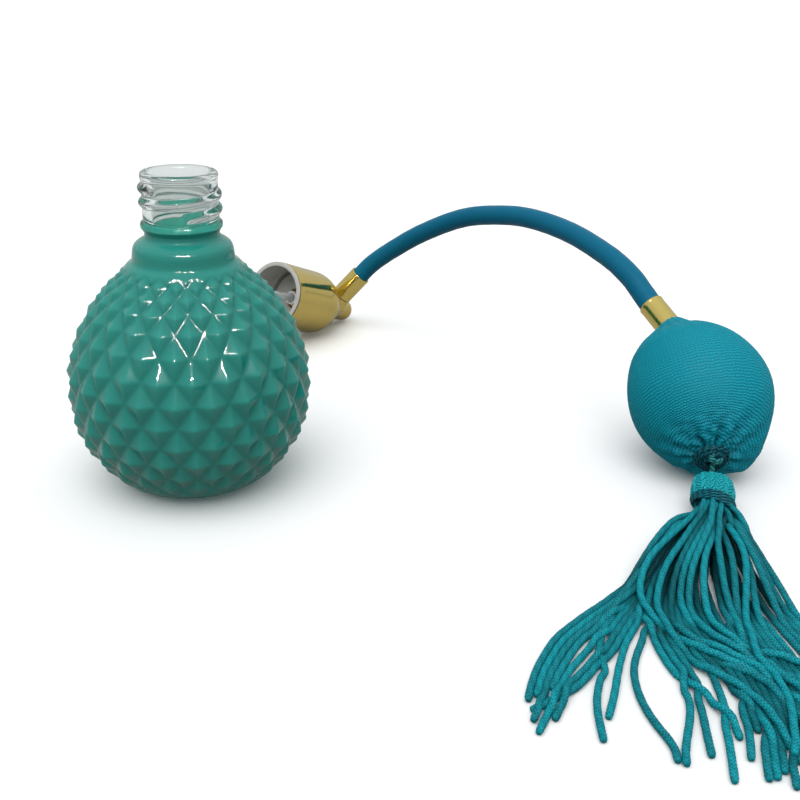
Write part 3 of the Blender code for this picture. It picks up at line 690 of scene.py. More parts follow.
def rounded(points, reach):
    """An outline with each of its inner corners replaced by a small curve."""
    points = [vector(p) for p in points]
    line = [points[0]]
    for before, corner, after in zip(points, points[1:], points[2:]):
        cut = min(reach, np.linalg.norm(before - corner) * 0.45, np.linalg.norm(after - corner) * 0.45)
        a = corner + (before - corner) / np.linalg.norm(before - corner) * cut
        b = corner + (after - corner) / np.linalg.norm(after - corner) * cut
        for t in (0.0, 0.25, 0.5, 0.75, 1.0):
            line.append(a * (1 - t) ** 2 + corner * 2 * t * (1 - t) + b * t ** 2)
    line.append(points[-1])
    return line


def closed_outline(points, reach):
    """A closed outline with all its corners rounded, for a ring or a sleeve."""
    middle = (vector(points[0]) + vector(points[-1])) / 2
    return rounded([middle] + list(points) + [middle], reach)[:-1]


def axes_on(along, across):
    z = unit(along)
    x = vector(across)
    x = unit(x - z * (x @ z))
    return x, np.cross(z, x), z


def tube(name, path, radius, look, around, shape=None, relief=None):
    """A round tube along a path in mm; shape(angle, run) adds to the radius."""
    side, up = frames_along(path)
    run = distances(path)
    angle = circle(around)
    radii = np.broadcast_to(np.asarray(radius, float), (len(path),))[:, None] * np.ones((1, around))
    if shape is not None:
        radii = radii + shape(angle[None, :], run[:, None])
    points = path[:, None, :] + ring_spokes(angle, side, up) * radii[:, :, None]
    shown = None if relief is None else relief(angle[None, :], run[:, None])
    return grid_mesh(name, points, [look], relief=shown, run=run)


# ---- bottle ----

def hermite(table, z):
    """Values of a smooth curve through (position, value) pairs."""
    xs = np.array([p[0] for p in table], float)
    ys = np.array([p[1] for p in table], float)
    slopes = np.gradient(ys, xs)
    slopes[1:-1] = (ys[2:] - ys[:-2]) / (xs[2:] - xs[:-2])
    k = np.clip(np.searchsorted(xs, z, side="right") - 1, 0, len(xs) - 2)
    span = xs[k + 1] - xs[k]
    t = (z - xs[k]) / span
    return ((2 * t ** 3 - 3 * t ** 2 + 1) * ys[k] + (t ** 3 - 2 * t ** 2 + t) * slopes[k] * span
            + (3 * t ** 2 - 2 * t ** 3) * ys[k + 1] + (t ** 3 - t ** 2) * slopes[k + 1] * span)


def facet_height(column, row):
    """The facets' relief from 0 in the grooves to 1 at the tips, with soft ridges and grooves."""
    def from_groove(value):
        return 1 - np.abs((value % 2) - 1)
    first = from_groove(column + row)
    second = from_groove(column - row)
    height = 0.5 * (first + second - np.sqrt((first - second) ** 2 + RIDGE_SOFT ** 2)) + RIDGE_SOFT * 0.5
    return np.sqrt(height ** 2 + VALLEY_SOFT ** 2) - VALLEY_SOFT


def bottle():
    columns = FACET_COUNT * 20
    angle = circle(columns)
    lattice = angle / tau * 2 * FACET_COUNT
    heights = np.linspace(2.6, 65.0, 176)
    row = np.interp(heights, FACET_ROWS, np.arange(len(FACET_ROWS)))
    fade = np.interp(heights, [3.4, 8, 12.5, 59.8, 62.5, 64.6], [0, 0.75, 1, 1, 0.75, 0])
    tips = facet_height(lattice[None, :], row[:, None])
    stand = FACET_STAND * np.minimum(1.0, fade * 2)
    body = (hermite(BOTTLE_SIDE, heights) + stand)[:, None] - FACET_DEPTH * fade[:, None] * (1 - tips)
    rows, levels, relief = [], [], []

    def add_round(outline, shade):
        for radius, level in outline:
            rows.append(np.full(columns, radius))
            levels.append(level)
            relief.append(np.full(columns, shade))
    add_round(FOOT, 0.5)
    rows += list(body)
    levels += list(heights)
    relief += list(0.5 + (tips - 0.5) * fade[:, None])
    neck = np.linspace(65.3, 77.6, 60)
    add_round(zip(hermite(NECK_SIDE, neck), neck), SMOOTH_SHADE)
    for z in np.linspace(77.75, 87.6, 70):
        radius = np.full(columns, THREAD_ROOT)
        for lap in range(-1, 3):
            along = angle / tau + lap
            away = np.abs(z - (THREAD_LOW + along * THREAD_PITCH)) / (THREAD_PITCH * 0.40)
            ends = np.clip(np.minimum(along / 0.10, (THREAD_TURNS - along) / 0.10), 0, 1)
            radius += THREAD_HEIGHT * np.clip(1 - away ** 2, 0, 1) ** 1.15 * ends
        rows.append(radius)
        levels.append(z)
        relief.append(np.full(columns, SMOOTH_SHADE))
    outside = len(rows)
    add_round(smooth_line(LIP_SIDE, 26), SMOOTH_SHADE)
    add_round(smooth_line(INSIDE, 70), SMOOTH_SHADE)
    levels = np.array(levels)
    radii = np.array(rows)
    turn = angle + radians(FACET_TURN)
    points = np.stack([radii * np.cos(turn), radii * np.sin(turn),
                       np.broadcast_to(levels[:, None], radii.shape)], axis=2)
    middle = (levels[1:] + levels[:-1]) / 2
    inner = np.arange(len(middle)) >= outside
    slot = np.where(inner, 2 - (middle > INSIDE_PAINT_EDGE), middle > PAINT_EDGE).astype(np.int32)
    pick = np.broadcast_to(slot[:, None], (len(middle), columns))
    piece = grid_mesh("bottle_body", points, [lacquer(), clear_glass(), inner_paint_glow()],
                      relief=np.array(relief), pick=pick)
    hand_over(piece, "bottle", "lacquered_glass", "bottle_glass")


# ---- sprayer head ----

def head_axes():
    joint = JOINTS["cap_spin"]
    origin = vector(joint["pos_m"]) / MM
    along = unit(joint["axis"])
    level = unit(np.cross(along, (0, 0, 1)))
    rise = np.cross(level, along)
    arm = level * cos(radians(ARM_ROLL)) + rise * sin(radians(ARM_ROLL))
    return origin, along, arm


def join_solids(target, tools, cut=()):
    """Unites a piece with others, cuts holes in it, and keeps the result as its mesh."""
    for tool, operation in [(t, "UNION") for t in tools] + [(t, "DIFFERENCE") for t in cut]:
        step = target.modifiers.new(tool.name, "BOOLEAN")
        step.operation = operation
        step.solver = "EXACT"
        step.object = tool
    bpy.context.view_layer.update()
    result = target.evaluated_get(bpy.context.evaluated_depsgraph_get())
    mesh = bpy.data.meshes.new_from_object(result)
    target.modifiers.clear()
    target.data = mesh
    for tool in list(tools) + list(cut):
        bpy.data.objects.remove(tool, do_unlink=True)


def cap():
    origin, along, arm = head_axes()
    axes = axes_on(along, arm)
    metal = gold("cap_gold")
    sweep = np.radians(np.linspace(0, DOME_SWEEP, 26))
    dome = [(DOME_TOP + 8.45 * cos(a), DOME_AT + 12.9 * sin(a)) for a in sweep]
    outside = [(12.2, 0.25), (12.3, 0.03), (12.5, 0.0), (CAP_R, 0.2), (CAP_R, 0.8), (12.58, 1.05),
               (CAP_R, 1.3)] + [(CAP_R, z) for z in np.linspace(3, 19, 9)]
    ends = [(6.85, 32.95), (6.6, 33.05), (5.6, 33.0), (5.4, 32.8), (5.4, 32.4)]
    inside = [(DOME_TOP + 7.95 * cos(a), DOME_AT + 12.4 * sin(a)) for a in sweep[::-1]]
    outline = outside + dome + ends + inside + [(CAP_BORE, 19.0), (CAP_BORE, 1.0)]
    shell = grid_mesh("cap_skin", turn_rings(outline, origin, axes, 144), [metal], looped=True)
    hand_over(sharpen(shell), "screw_cap", "gold_metal", "cap_shell")


def liner():
    origin, along, arm = head_axes()
    axes = axes_on(along, arm)
    columns = 120
    lip = closed_outline([(10.9, 0.2), (10.9, -1.0), (12.55, -1.0), (12.55, -0.3), (11.85, -0.3),
                          (11.85, 17.2), (4.9, 17.2), (4.9, 16.0), (11.3, 16.0)], 0.28)
    bore = [(11.3, z) for z in np.linspace(15.6, 0.1, 90)]
    outline = np.array(list(lip) + bore)
    rings = turn_rings(outline, origin, axes, columns)
    angle = circle(columns)
    spokes = np.cos(angle)[:, None] * axes[0] + np.sin(angle)[:, None] * axes[1]
    for k in range(len(lip), len(outline)):
        z = outline[k][1]
        ridge = np.zeros(columns)
        for lap in range(4):
            at = 2.6 + (lap - angle / tau) * THREAD_PITCH
            ridge += np.clip(1 - ((z - at) / 0.75) ** 2, 0, 1) * ((at > BORE_TURNS[0]) & (at < BORE_TURNS[1]))
        rings[k] -= spokes * (ridge * 0.28)[:, None]
    piece = grid_mesh("liner_skin", rings, [plastic("liner_white", (0.50, 0.485, 0.455), 0.5)], looped=True)
    hand_over(sharpen(piece), "screw_cap", "white_liner", "cap_liner")


def core():
    origin, along, arm = head_axes()
    metal = gold("core_gold", 0.11)
    profile = smooth_line([(4.4, 33.0), (6.5, 33.12), (7.0, 33.5), (7.0, 34.1), (6.65, 35.6), (5.9, 37.4),
                           (5.3, 39.2), (4.95, 41.0), (4.75, 42.2), (4.3, 42.4), (1.9, 42.4)], 60)
    outline = [(1.9, 14.2), (10.6, 14.2), (10.6, 15.7), (4.4, 15.7)] + list(profile)
    body = grid_mesh("core_skin", turn_rings(outline, origin, axes_on(along, arm), 120), [metal])
    arm_start = origin + along * ARM_AT
    boss = smooth_line([(5.6, 3.4), (4.7, 5.0), (4.32, 6.2), (4.28, 7.0), (3.9, 7.25), (2.4, 7.25)], 24)
    boss = [(1.5, 2.6), (5.4, 2.6)] + list(boss) + [(1.5, 7.25)]
    socket = grid_mesh("arm_socket", turn_rings(boss, arm_start, axes_on(arm, along)), [metal])
    spout_start = origin + along * NOZZLE_AT
    stub = rounded([(0.8, 2.6), (2.4, 2.6), (2.4, 5.6), (0.8, 5.6)], 0.2)
    spout = grid_mesh("spout_stub", turn_rings(stub, spout_start, axes_on(-arm, along), 64), [metal])
    vent_way = unit(np.cross(arm, along))
    vent = turn_rings([(0.32, 3.0), (0.32, 8.0)], origin + along * VENT_AT, axes_on(-vent_way, along), 24)
    hole = grid_mesh("vent_hole", vent, [metal])
    join_solids(body, [socket, spout], [hole])
    hand_over(sharpen(body, 32), "sprayer", "gold_metal", "head_core")


def knob():
    origin, along, arm = head_axes()
    dome = smooth_line([(1.6, 39.8), (1.6, 42.5), (4.2, 42.6), (4.42, 42.85), (4.5, 44.6), (4.42, 46.2),
                        (4.1, 47.4), (3.3, 48.4), (2.0, 48.95), (0.7, 49.1), (0.3, 49.1)], 70)
    piece = grid_mesh("knob_skin", turn_rings(dome, origin, axes_on(along, arm)),
                      [gold("knob_gold", 0.11)])
    hand_over(sharpen(piece), "sprayer", "gold_metal", "turret_knob")


def sleeve(name, origin, along, across, sizes, body, node):
    """A drawn metal ferrule with a rolled lip at each end."""
    outer, bore, start, end = sizes
    outline = closed_outline([(bore, end), (bore, start), (outer, start), (outer + 0.12, start + 0.25),
                              (outer, start + 0.7), (outer, end - 0.9), (outer + 0.12, end - 0.4),
                              (outer, end)], 0.25)
    rings = turn_rings(outline, origin, axes_on(along, across))
    piece = grid_mesh(name, rings, [gold(name + "_gold", 0.12)], looped=True)
    hand_over(sharpen(piece), body, "gold_metal", node)


def dip_tube():
    origin, along, arm = head_axes()
    share = np.linspace(0, 1, 60)[:, None]
    line = (origin + along * DIP_TUBE_AT - along * DIP_TUBE_LENGTH * share
            + vector((0, 0, -DIP_TUBE_SAG)) * share ** 2)
    side, up = frames_along(line)
    spokes = ring_spokes(circle(28), side, up)
    outer = line[:, None, :] + spokes * DIP_TUBE_R
    inner = line[:, None, :] + spokes * DIP_TUBE_BORE
    look = Look("dip_tube_clear", (0.90, 0.92, 0.92), 0.12, Transmission_Weight=0.7, IOR=1.45)
    look.finish((300.0, 2.0, 0.08, 0.2), (500.0, 2.0, 0.00005, 0.3))
    piece = grid_mesh("dip_tube_skin", np.vstack([outer, inner[::-1]]), [look.material], looped=True)
    hand_over(sharpen(piece), "sprayer", "clear_tube", "dip_tube")


def hose():
    route = vector(HOSE_ROUTE)
    start = route[0] + unit(route[0] - route[1]) * HOSE_TUCK
    end = route[-1] + unit(route[-1] - route[-2]) * HOSE_TUCK
    path = smooth_line([start, *route, end], 420)
    look = tubing("teal_tubing", (0.001, 0.112, 0.200), (0.002, 0.150, 0.262), 0.42)

    def wobble(angle, run):
        return 0.015 * np.sin(run * 0.9) + 0.012 * np.sin(angle * 3 + run * 0.21)
    piece = tube("hose_skin", path, HOSE_R, look, around=56, shape=wobble)
    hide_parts("hose")
    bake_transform(piece)


# ---- bulb ----

def bulb_rings(radius, half, neck_out, neck_at, tail_out, tail_end):
    """Centres and cross directions of rings down the bulb, which bends towards the hose."""
    hose_way, tail_way = unit(TO_HOSE), unit(TO_TAIL)
    axis = unit(tail_way - hose_way)
    hinge = unit(np.cross(hose_way, tail_way))
    bend = acos(float(axis @ tail_way))
    if np.cross(axis, tail_way) @ hinge < 0:
        bend = -bend
    neck_axis = -unit(TO_FERRULE)
    neck_side = unit(hinge - neck_axis * (hinge @ neck_axis))
    rings = [(vector(NECK) - neck_axis * neck_at, neck_side, np.cross(neck_axis, neck_side), neck_out)]
    start = acos(min(1.0, (neck_out + NECK_SHOULDER) / radius))
    end = acos(min(1.0, (tail_out + 0.4) / radius))
    for angle in np.linspace(-start, end, 16):
        along = (half + (HOSE_REACH if angle < 0 else 0)) * sin(angle)
        share = max(-1.0, min(1.0, along / 19.0))
        turn = np.array(Matrix.Rotation(bend * share * abs(share), 3, Vector(hinge)))
        rings.append((vector(BULB_CENTRE) + turn @ (axis * along), turn @ hinge,
                      turn @ np.cross(axis, hinge), radius * cos(angle)))
    centre, side, up, last = rings[-1]
    rings.append((vector(BULB_CENTRE) + unit(TO_TAIL) * tail_end, side, up, tail_out))
    return rings


def bulb_surface(sizes, rows, columns):
    """A grid of points on the bulb, evenly spaced from its neck to its tail, with its runs and angles."""
    angle = circle(columns)
    table = smooth_line([np.concatenate([c, s, u, [r]]) for c, s, u, r in bulb_rings(*sizes)], 400)
    run = distances(table[:, :3] + table[:, 3:6] * table[:, 9:10])
    want = np.linspace(0, run[-1], rows)
    table = resample(table, run, want)
    points = table[:, None, :3] + ring_spokes(angle, table[:, 3:6], table[:, 6:9]) * table[:, None, 9:10]
    return points, want, angle


def outward(points):
    """Unit normals of a grid of rings, pointing away from its middle."""
    along = np.gradient(points, axis=0)
    around = np.roll(points, -1, axis=1) - np.roll(points, 1, axis=1)
    normal = np.cross(around, along)
    normal /= np.linalg.norm(normal, axis=2)[:, :, None] + 1e-12
    middle = points.reshape(-1, 3).mean(axis=0)
    if ((points - middle) * normal).sum() < 0:
        normal = -normal
    return normal


def waves(angle, run, seeds, power):
    """Slow, repeatable unevenness over the cover: a few waves round it and along it."""
    total = 0.0
    for k, (around, along, phase) in enumerate(seeds):
        total = total + np.sin(around * angle + along * run + phase) / (1 + k * power)
    return total


def squash(piece):
    """Gives a piece its own copy of its mesh."""
    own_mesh(piece)


def cover():
    rows, columns = COURSES * STITCH_POINTS + 1, WALES * STITCH_POINTS
    points, run, angle = bulb_surface(COVER_OUTSIDE, rows, columns)
    share = (run / run[-1])[:, None]
    theta = angle[None, :]
    line = run[:, None]
    slow = waves(theta, line, [(2, 0.11, 0.4), (3, -0.17, 2.1), (5, 0.23, 4.0), (9, -0.31, 1.2)], 0.3)
    grain = np.interp(share, [0.40, 0.62, 0.80], [0.10, 0.55, 1.0])
    wale = theta / tau * WALES + 0.10 * waves(theta, line, [(13, 0.9, 1.0), (21, -1.3, 3.0)], 0.4)
    course = line / COURSE + 0.22 * slow + 0.10 * waves(theta, line, [(31, 0.4, 0.0), (43, -0.7, 2.0)], 0.3)
    slant = np.abs((wale % 1) - 0.5) * 2
    rib = np.abs(np.cos(pi * (course + 0.30 * slant)))
    rows_only = rib ** 0.75 * (1 - 0.30 * np.abs(np.cos(pi * wale)) ** 6)
    staggered = np.abs(np.cos(pi * (wale + 0.5 * np.floor(course + 0.5))))
    loops = np.abs(np.cos(pi * course)) ** 0.6 * (0.25 + 0.75 * staggered ** 0.6)
    stitch = rows_only * (1 - grain) + loops * grain
    weight = np.interp(share, [0, 0.08, 0.25, 0.5, 0.8, 1.0], [0.30, 0.40, 0.75, 1.0, 1.5, 1.2])
    lift = STITCH_LIFT * weight * (stitch - 0.55)
    pleating = np.interp(share, [0, 0.05, 0.3, 0.45], [0.30, 0.28, 0.10, 0])
    pleats = np.sin(theta * 19 + 1.3 * np.sin(theta * 3)) * pleating
    gather = np.interp(share, [0.70, 0.84, 0.95, 1.0], [0.0, 0.35, 1.0, 0.55])
    folds = (np.sin(theta * 9 + 1.1 * np.sin(theta * 2 + 0.7) + 0.16 * line)
             + 0.7 * np.sin(theta * 14 - 0.9 * np.sin(theta * 3) + 2.0 - 0.10 * line))
    lumps = waves(theta, line, [(11, 1.1, 0.3), (17, -1.5, 1.9), (8, 1.9, 5.0)], 0.3) * gather
    deep = gather * (0.62 * folds - 0.25) + 0.22 * lumps
    lift = lift + 0.35 * pleats + deep + 0.05 * slow
    sag = SLACK
    for size, turn, at, wide, far in SAGS:
        away = (theta - turn + pi) % tau - pi
        sag = sag + size * np.exp(-(away / wide) ** 2 - ((share - at) / far) ** 2)
    out = outward(points)
    skin = points + out * (lift + sag)[:, :, None]
    lining = np.minimum(deep + 0.35 * pleats, 0) + sag - COVER_WALL
    inside = (points + out * lining[:, :, None])[::3]
    skin[:, :, 2] = np.maximum(skin[:, :, 2], REST_HEIGHT)
    inside[:, :, 2] = np.maximum(inside[:, :, 2], REST_HEIGHT + COVER_WALL)
    # Painted shade: the colour is darker between stitches and down the gather folds, and the cover's inside
    # is given the dark end.
    relief = np.clip(0.15 + 0.75 * stitch * (0.7 + 0.3 * weight) + 0.25 * np.minimum(0, deep), 0, 1)
    relief = np.vstack([relief, np.full((len(inside), columns), 0.1)])
    look = yarn("teal_knit", (0.001, 0.072, 0.108), (0.002, 0.262, 0.352), (0.006, 0.440, 0.560), 2600.0)
    piece = grid_mesh("cover_knit", np.vstack([skin, inside[::-1]]), [look], looped=True, relief=relief)
    hand_over(piece, "bulb", "teal_knit", "bulb_cover")
    squash(piece)


def bladder():
    outside = bulb_surface(BLADDER_OUTSIDE, 90, 96)[0]
    inside = bulb_surface(BLADDER_INSIDE, 60, 96)[0]
    look = Look("bladder_rubber", (0.03, 0.03, 0.03), 0.6)
    look.finish((200.0, 2.0, 0.5, 0.7), (600.0, 2.0, 0.0001, 0.4))
    piece = grid_mesh("bladder_skin", np.vstack([outside, inside[::-1]]), [look.material], looped=True)
    hand_over(piece, "bulb", "black_rubber", "bulb_bladder")
    squash(piece)


def ply(turns_per_mm, deep):
    """The shape and relief of a thread twisted from two plies, as functions of angle and run."""
    def relief(angle, run):
        return 0.5 + 0.5 * np.cos(2 * (angle + tau * turns_per_mm * run))

    def shape(angle, run):
        return -deep * (1 - relief(angle, run))
    return {"shape": shape, "relief": relief}


def thread_ring(name, origin, along, across, major, minor, tilt, look, lift=0.0, twist=0.28, lean=0.6):
    """One turn of twisted thread wound round an axis, tilted a little."""
    x, y, z = axes_on(along, across)
    angle = np.linspace(0, tau, 181)
    wobble = 1 + 0.015 * np.sin(3 * angle + tilt)
    path = (vector(origin) + major * wobble[:, None] * (np.cos(angle)[:, None] * x
            + np.sin(angle)[:, None] * y)
            + (lift + tilt * np.cos(angle - lean))[:, None] * z)
    return tube(name, path, minor, look, around=14, **ply(0.26, minor * twist))


def tail_tie():
    """Thread wound round the gathered tail, then over its end in a flat coil."""
    look = yarn("tie_thread", (0.001, 0.025, 0.040), (0.002, 0.070, 0.100), (0.006, 0.160, 0.200))
    way = unit(TO_TAIL)
    for k, (at, major) in enumerate([(23.2, 4.80), (24.1, 4.60)]):
        piece = thread_ring(f"cover_tie_turn_{k + 1}", vector(BULB_CENTRE) + way * at, way, (0, 0, 1),
                            major, 0.52, 0.35 - 0.3 * k, look)
        nodes = ["cover_tie"] if k == 0 else []
        hand_over(piece, "bulb", "teal_thread", *nodes)
    x, y, z = axes_on(way, (0, 0, 1))
    turns = np.linspace(0, 3.2, 300)
    major = 4.35 - 0.88 * turns
    angle = tau * turns
    path = (vector(BULB_CENTRE) + way * 24.95 + (np.cos(angle) * major)[:, None] * x
            + (np.sin(angle) * major)[:, None] * y + (0.25 * np.sin(angle * 2.3) + 0.18 * turns)[:, None] * z)
    piece = tube("cover_tie_coil", path, 0.50, look, around=14, **ply(0.42, 0.14))
    hand_over(piece, "bulb", "teal_thread")


# ---- tassel ----

def tassel_axes():
    return vector(TASSEL_BACK), axes_on(TASSEL_WAY, (0, 0, 1))


def slump(piece):
    """Lets a round piece of the tassel's head sink into a flatter shape on the table."""
    spots = np.empty(len(piece.data.vertices) * 3, np.float32)
    piece.data.vertices.foreach_get("co", spots)
    spots = spots.reshape(-1, 3)
    spots[:, 2] = slumped(spots[:, 2] / MM) * MM
    piece.data.vertices.foreach_set("co", spots.ravel())
    piece.data.update()


def slumped(height):
    return TASSEL_BACK[2] + (height - TASSEL_BACK[2]) * SLUMP - SLUMP_DROP


def tassel_loop():
    look = yarn("loop_cord", (0.003, 0.080, 0.095), (0.018, 0.210, 0.225), (0.060, 0.400, 0.400))
    drop = [(150.6, -8.5, 12.0), (150.6, -8.95, 10.9), (150.55, -9.4, 9.4), (150.5, -10.0, 8.2),
            (150.5, -10.75, 7.45), (150.5, -11.6, 7.1)]
    piece = tube("loop_cord", smooth_line(drop, 60), 0.75, look, around=16, **ply(0.35, 0.16))
    hand_over(piece, "loop", "teal_thread", "tassel_loop")


def tie_knot():
    """The knot that ends the tail's thread, above the loop."""
    look = yarn("knot_cord", (0.003, 0.080, 0.095), (0.018, 0.210, 0.225), (0.060, 0.400, 0.400))
    angle = np.linspace(0, tau * 2.6, 150)
    x, y, z = axes_on((0.35, -0.5, 0.8), (1, 0, 0))
    swell = 1.8 + 0.2 * np.sin(angle * 1.5)
    path = (vector(KNOT_AT) + (np.cos(angle) * swell)[:, None] * x
            + (np.sin(angle) * swell * 0.75)[:, None] * y + ((angle / tau - 1.3) * 0.8)[:, None] * z)
    piece = tube("tie_knot", path, 0.58, look, around=14, **ply(0.35, 0.16))
    hand_over(piece, "bulb", "teal_thread")


def tassel_head():
    origin, axes = tassel_axes()
    rows, columns = 150, 216
    outline = smooth_line([(0.3, -0.3), (3.0, -0.25), (4.6, 0.0), (5.25, 0.8), (5.6, 2.6), (5.9, 5.2),
                           (5.95, 7.6), (5.6, 9.8), (5.1, 11.4)], rows)
    points = turn_rings(outline, origin, axes, columns)
    angle = circle(columns)[None, :]
    run = distances(outline)[:, None]
    column = angle / tau * 14 + 0.12 * np.sin(run * 1.7) + 0.08 * np.sin(3 * angle)
    zigzag = np.abs((column % 1) - 0.5) * 2
    ribs = 0.5 + 0.5 * np.cos(tau * (run / 1.15 + 1.25 * zigzag + 0.2 * np.sin(2 * angle)))
    seam = np.abs(np.cos(pi * column * 2)) ** 8
    weave = ribs * (1 - 0.35 * seam)
    points = points + outward(points) * (0.34 * (weave - 0.5))[:, :, None]
    square = (np.abs(np.cos(angle)) ** 3 + np.abs(np.sin(angle)) ** 3) ** (-1 / 3)
    across = points - origin - ((points - origin) @ axes[2])[:, :, None] * axes[2]
    points = points + across * ((square - 1) * 0.8)[:, :, None]
    look = yarn("teal_weave", (0.001, 0.070, 0.090), (0.004, 0.300, 0.350), (0.030, 0.640, 0.700))
    # Painted shade in the weave's grooves and painted highlight on its ribs.
    piece = grid_mesh("head_weave", points, [look], relief=0.12 + 0.85 * weave)
    slump(piece)
    hand_over(piece, "tassel", "teal_weave", "tassel_head")


def tassel_binding():
    origin, axes = tassel_axes()
    look = yarn("binding_cord", (0.001, 0.025, 0.040), (0.002, 0.095, 0.130), (0.008, 0.220, 0.270))
    outline = rounded([(0.4, 10.0), (4.7, 10.1), (4.7, 13.4), (0.4, 13.6)], 0.6)
    core_rings = turn_rings(outline, origin, axes, 60)
    # Painted shade: the core between the binding turns is given the thread's dark end.
    plug = grid_mesh("binding_core", core_rings, [look], relief=np.full(core_rings.shape[:2], 0.1))
    slump(plug)
    hand_over(plug, "tassel", "teal_thread", "tassel_binding")
    turns = [(11.2, 5.75, 2.0), (12.15, 5.65, 2.5), (13.1, 5.55, 3.0), (14.0, 5.40, 3.5)]
    for k, (at, major, tilt) in enumerate(turns):
        piece = thread_ring(f"binding_turn_{k + 1}", origin, axes[2], axes[0], major, 0.48, tilt, look,
                            lift=at, twist=0.14, lean=-0.7)
        slump(piece)
        hand_over(piece, "tassel", "teal_thread")


def cut_to(points, length):
    """A route of the wanted length: trimmed, or carried on the way it was heading."""
    fine = smooth_line(points, 200)
    short = length - line_length(fine)
    if short > 0:
        way = unit(fine[-1] - fine[-16])
        way[2] = 0.0
        bend = np.array([-0.10, -0.25, 0.0])
        extra = [fine[-1] + unit(way + bend * k / 12) * short * k / 12 for k in range(1, 13)]
        fine = np.vstack([fine, extra])
    run = distances(fine)
    return resample(fine, run, np.linspace(0, min(length, run[-1]), STRAND_POINTS))


def drawn_strands():
    """All the strands as drawn, in the order that they were laid down, with their roots spread."""
    origin, axes = tassel_axes()
    across = unit(np.cross(axes[2], (0, 0, 1)))
    names = list(STRAND_ROUTES)
    routes = [(rank, name, [vector(p) for p in STRAND_ROUTES[name]]) for rank, name in enumerate(names)]
    for first, second, change in BETWEEN:
        one = smooth_line(STRAND_ROUTES[first], 14)
        two = smooth_line(STRAND_ROUTES[second], 14)
        middle = (one + two) / 2 + vector((0, 0, change))
        middle[:, 2] = np.maximum(middle[:, 2], 1.2)
        rank = (names.index(first) + names.index(second)) / 2
        routes.append((rank, first + "_beside", list(middle)))
    routes.sort(key=lambda entry: entry[0])
    count = len(routes)
    seeds = [(ROOT_SPREAD * ((k + 0.5) / count) ** 0.5, k * ROOT_TURN) for k in range(count)]
    spots = sorted([(r * cos(a), r * sin(a)) for r, a in seeds])
    order = sorted(range(count), key=lambda k: float((routes[k][2][1] - origin) @ across))
    strands = [None] * count
    for first in range(0, count, ROOT_GROUP):
        members = sorted(order[first:first + ROOT_GROUP], key=lambda k: routes[k][0])
        places = sorted(spots[first:first + ROOT_GROUP], key=lambda spot: spot[1])
        for k, (sideways, up) in zip(members, places):
            offset = across * sideways + vector((0, 0, 1)) * up
            fan = min(0.0, float((routes[k][2][0] - origin) @ across)) * across
            roots = [origin + axes[2] * 13.0 + offset * 0.90, origin + axes[2] * 15.4 + offset * 1.05,
                     origin + axes[2] * 19.0 + offset * 1.15 + fan * FLARE]
            length = STRAND_LENGTH + 5.0 * sin(k * 2.7) + 3.5 * sin(k * 1.3)
            if routes[k][1] in WHOLE:
                length = line_length(smooth_line(roots + routes[k][2], 200))
            for root in roots[:2]:
                root[2] = slumped(root[2])
            strands[k] = cut_to(roots + routes[k][2], length)
    return [entry[1] for entry in routes], np.array(strands)


def settle(drawn):
    """Lets the strands sink and push each other apart until they lie on the table and on each other."""
    x = drawn.copy()
    count, points = x.shape[:2]
    rest = np.linalg.norm(np.diff(x, axis=1), axis=2)
    index = np.arange(2 * points - 1)
    owner = np.repeat(np.arange(count), 2 * points - 1)
    left = np.tile(index // 2, count)
    right = np.tile((index + 1) // 2, count)
    along = np.tile(index / 2, count) * rest.mean()
    reach = STRAND_R * 2 * np.clip(0.62 + (along - 6) / 30, 0.62, 1.0)
    stiff = np.interp(np.arange(points - 2) * rest.mean(), [0, 14, 44], [0.16, 0.12, 0.0])
    for _ in range(SETTLE_STEPS):
        x[:, 2:, 2] += stiff * (drawn[:, 2:, 2] - x[:, 2:, 2]) - FALL
        x[:, 2:, :2] += (drawn[:, 2:, :2] - x[:, 2:, :2]) * PULL_BACK
        middle = (x[:, :-2] + x[:, 2:]) / 2
        x[:, 2:-1] += (middle[:, 1:] - x[:, 2:-1]) * SMOOTHING
        samples = (x[owner, left] + x[owner, right]) / 2
        tree = KDTree(len(samples))
        for k, spot in enumerate(samples):
            tree.insert(spot, k)
        tree.balance()
        pairs = [(k, other) for k, spot in enumerate(samples)
                 for _, other, _ in tree.find_range(spot, 2 * STRAND_R)
                 if other > k and owner[other] != owner[k]]
        if pairs:
            one, two = np.array(pairs).T
            apart = samples[two] - samples[one]
            overlap = np.minimum(reach[one], reach[two]) - np.linalg.norm(apart, axis=1)
            push = np.clip(overlap, 0, None) * PUSH
            apart[:, 2] += UPWARDS * np.sign(owner[two] - owner[one])
            shove = apart / (np.linalg.norm(apart, axis=1) + 1e-9)[:, None] * push[:, None]
            move = np.zeros_like(x)
            hits = np.zeros(x.shape[:2])
            for sample, sign in ((one, -1.0), (two, 1.0)):
                for end in (left, right):
                    np.add.at(move, (owner[sample], end[sample]), sign * shove)
                    np.add.at(hits, (owner[sample], end[sample]), 1)
            x += move / np.maximum(1, hits * 0.5)[:, :, None]
        for _ in range(4):
            link = np.diff(x, axis=1)
            size = np.linalg.norm(link, axis=2)
            fix = link * ((size - rest) / size)[:, :, None] * 0.5
            x[:, :-1] += fix * 0.5
            x[:, 1:] -= fix * 0.5
        x[:, :2] = drawn[:, :2]
        x[:, 2:, 2] = np.maximum(x[:, 2:, 2], STRAND_R + 0.05)
    return x


def braid(angle, run):
    """The relief of a round braid, which swells a little where its plaits cross."""
    return 0.5 + 0.25 * np.cos(2 * angle + tau * run / 4.2) + 0.25 * np.cos(tau * run / 1.15)


def plaited(angle, run):
    return -0.09 * (1 - braid(angle, run))


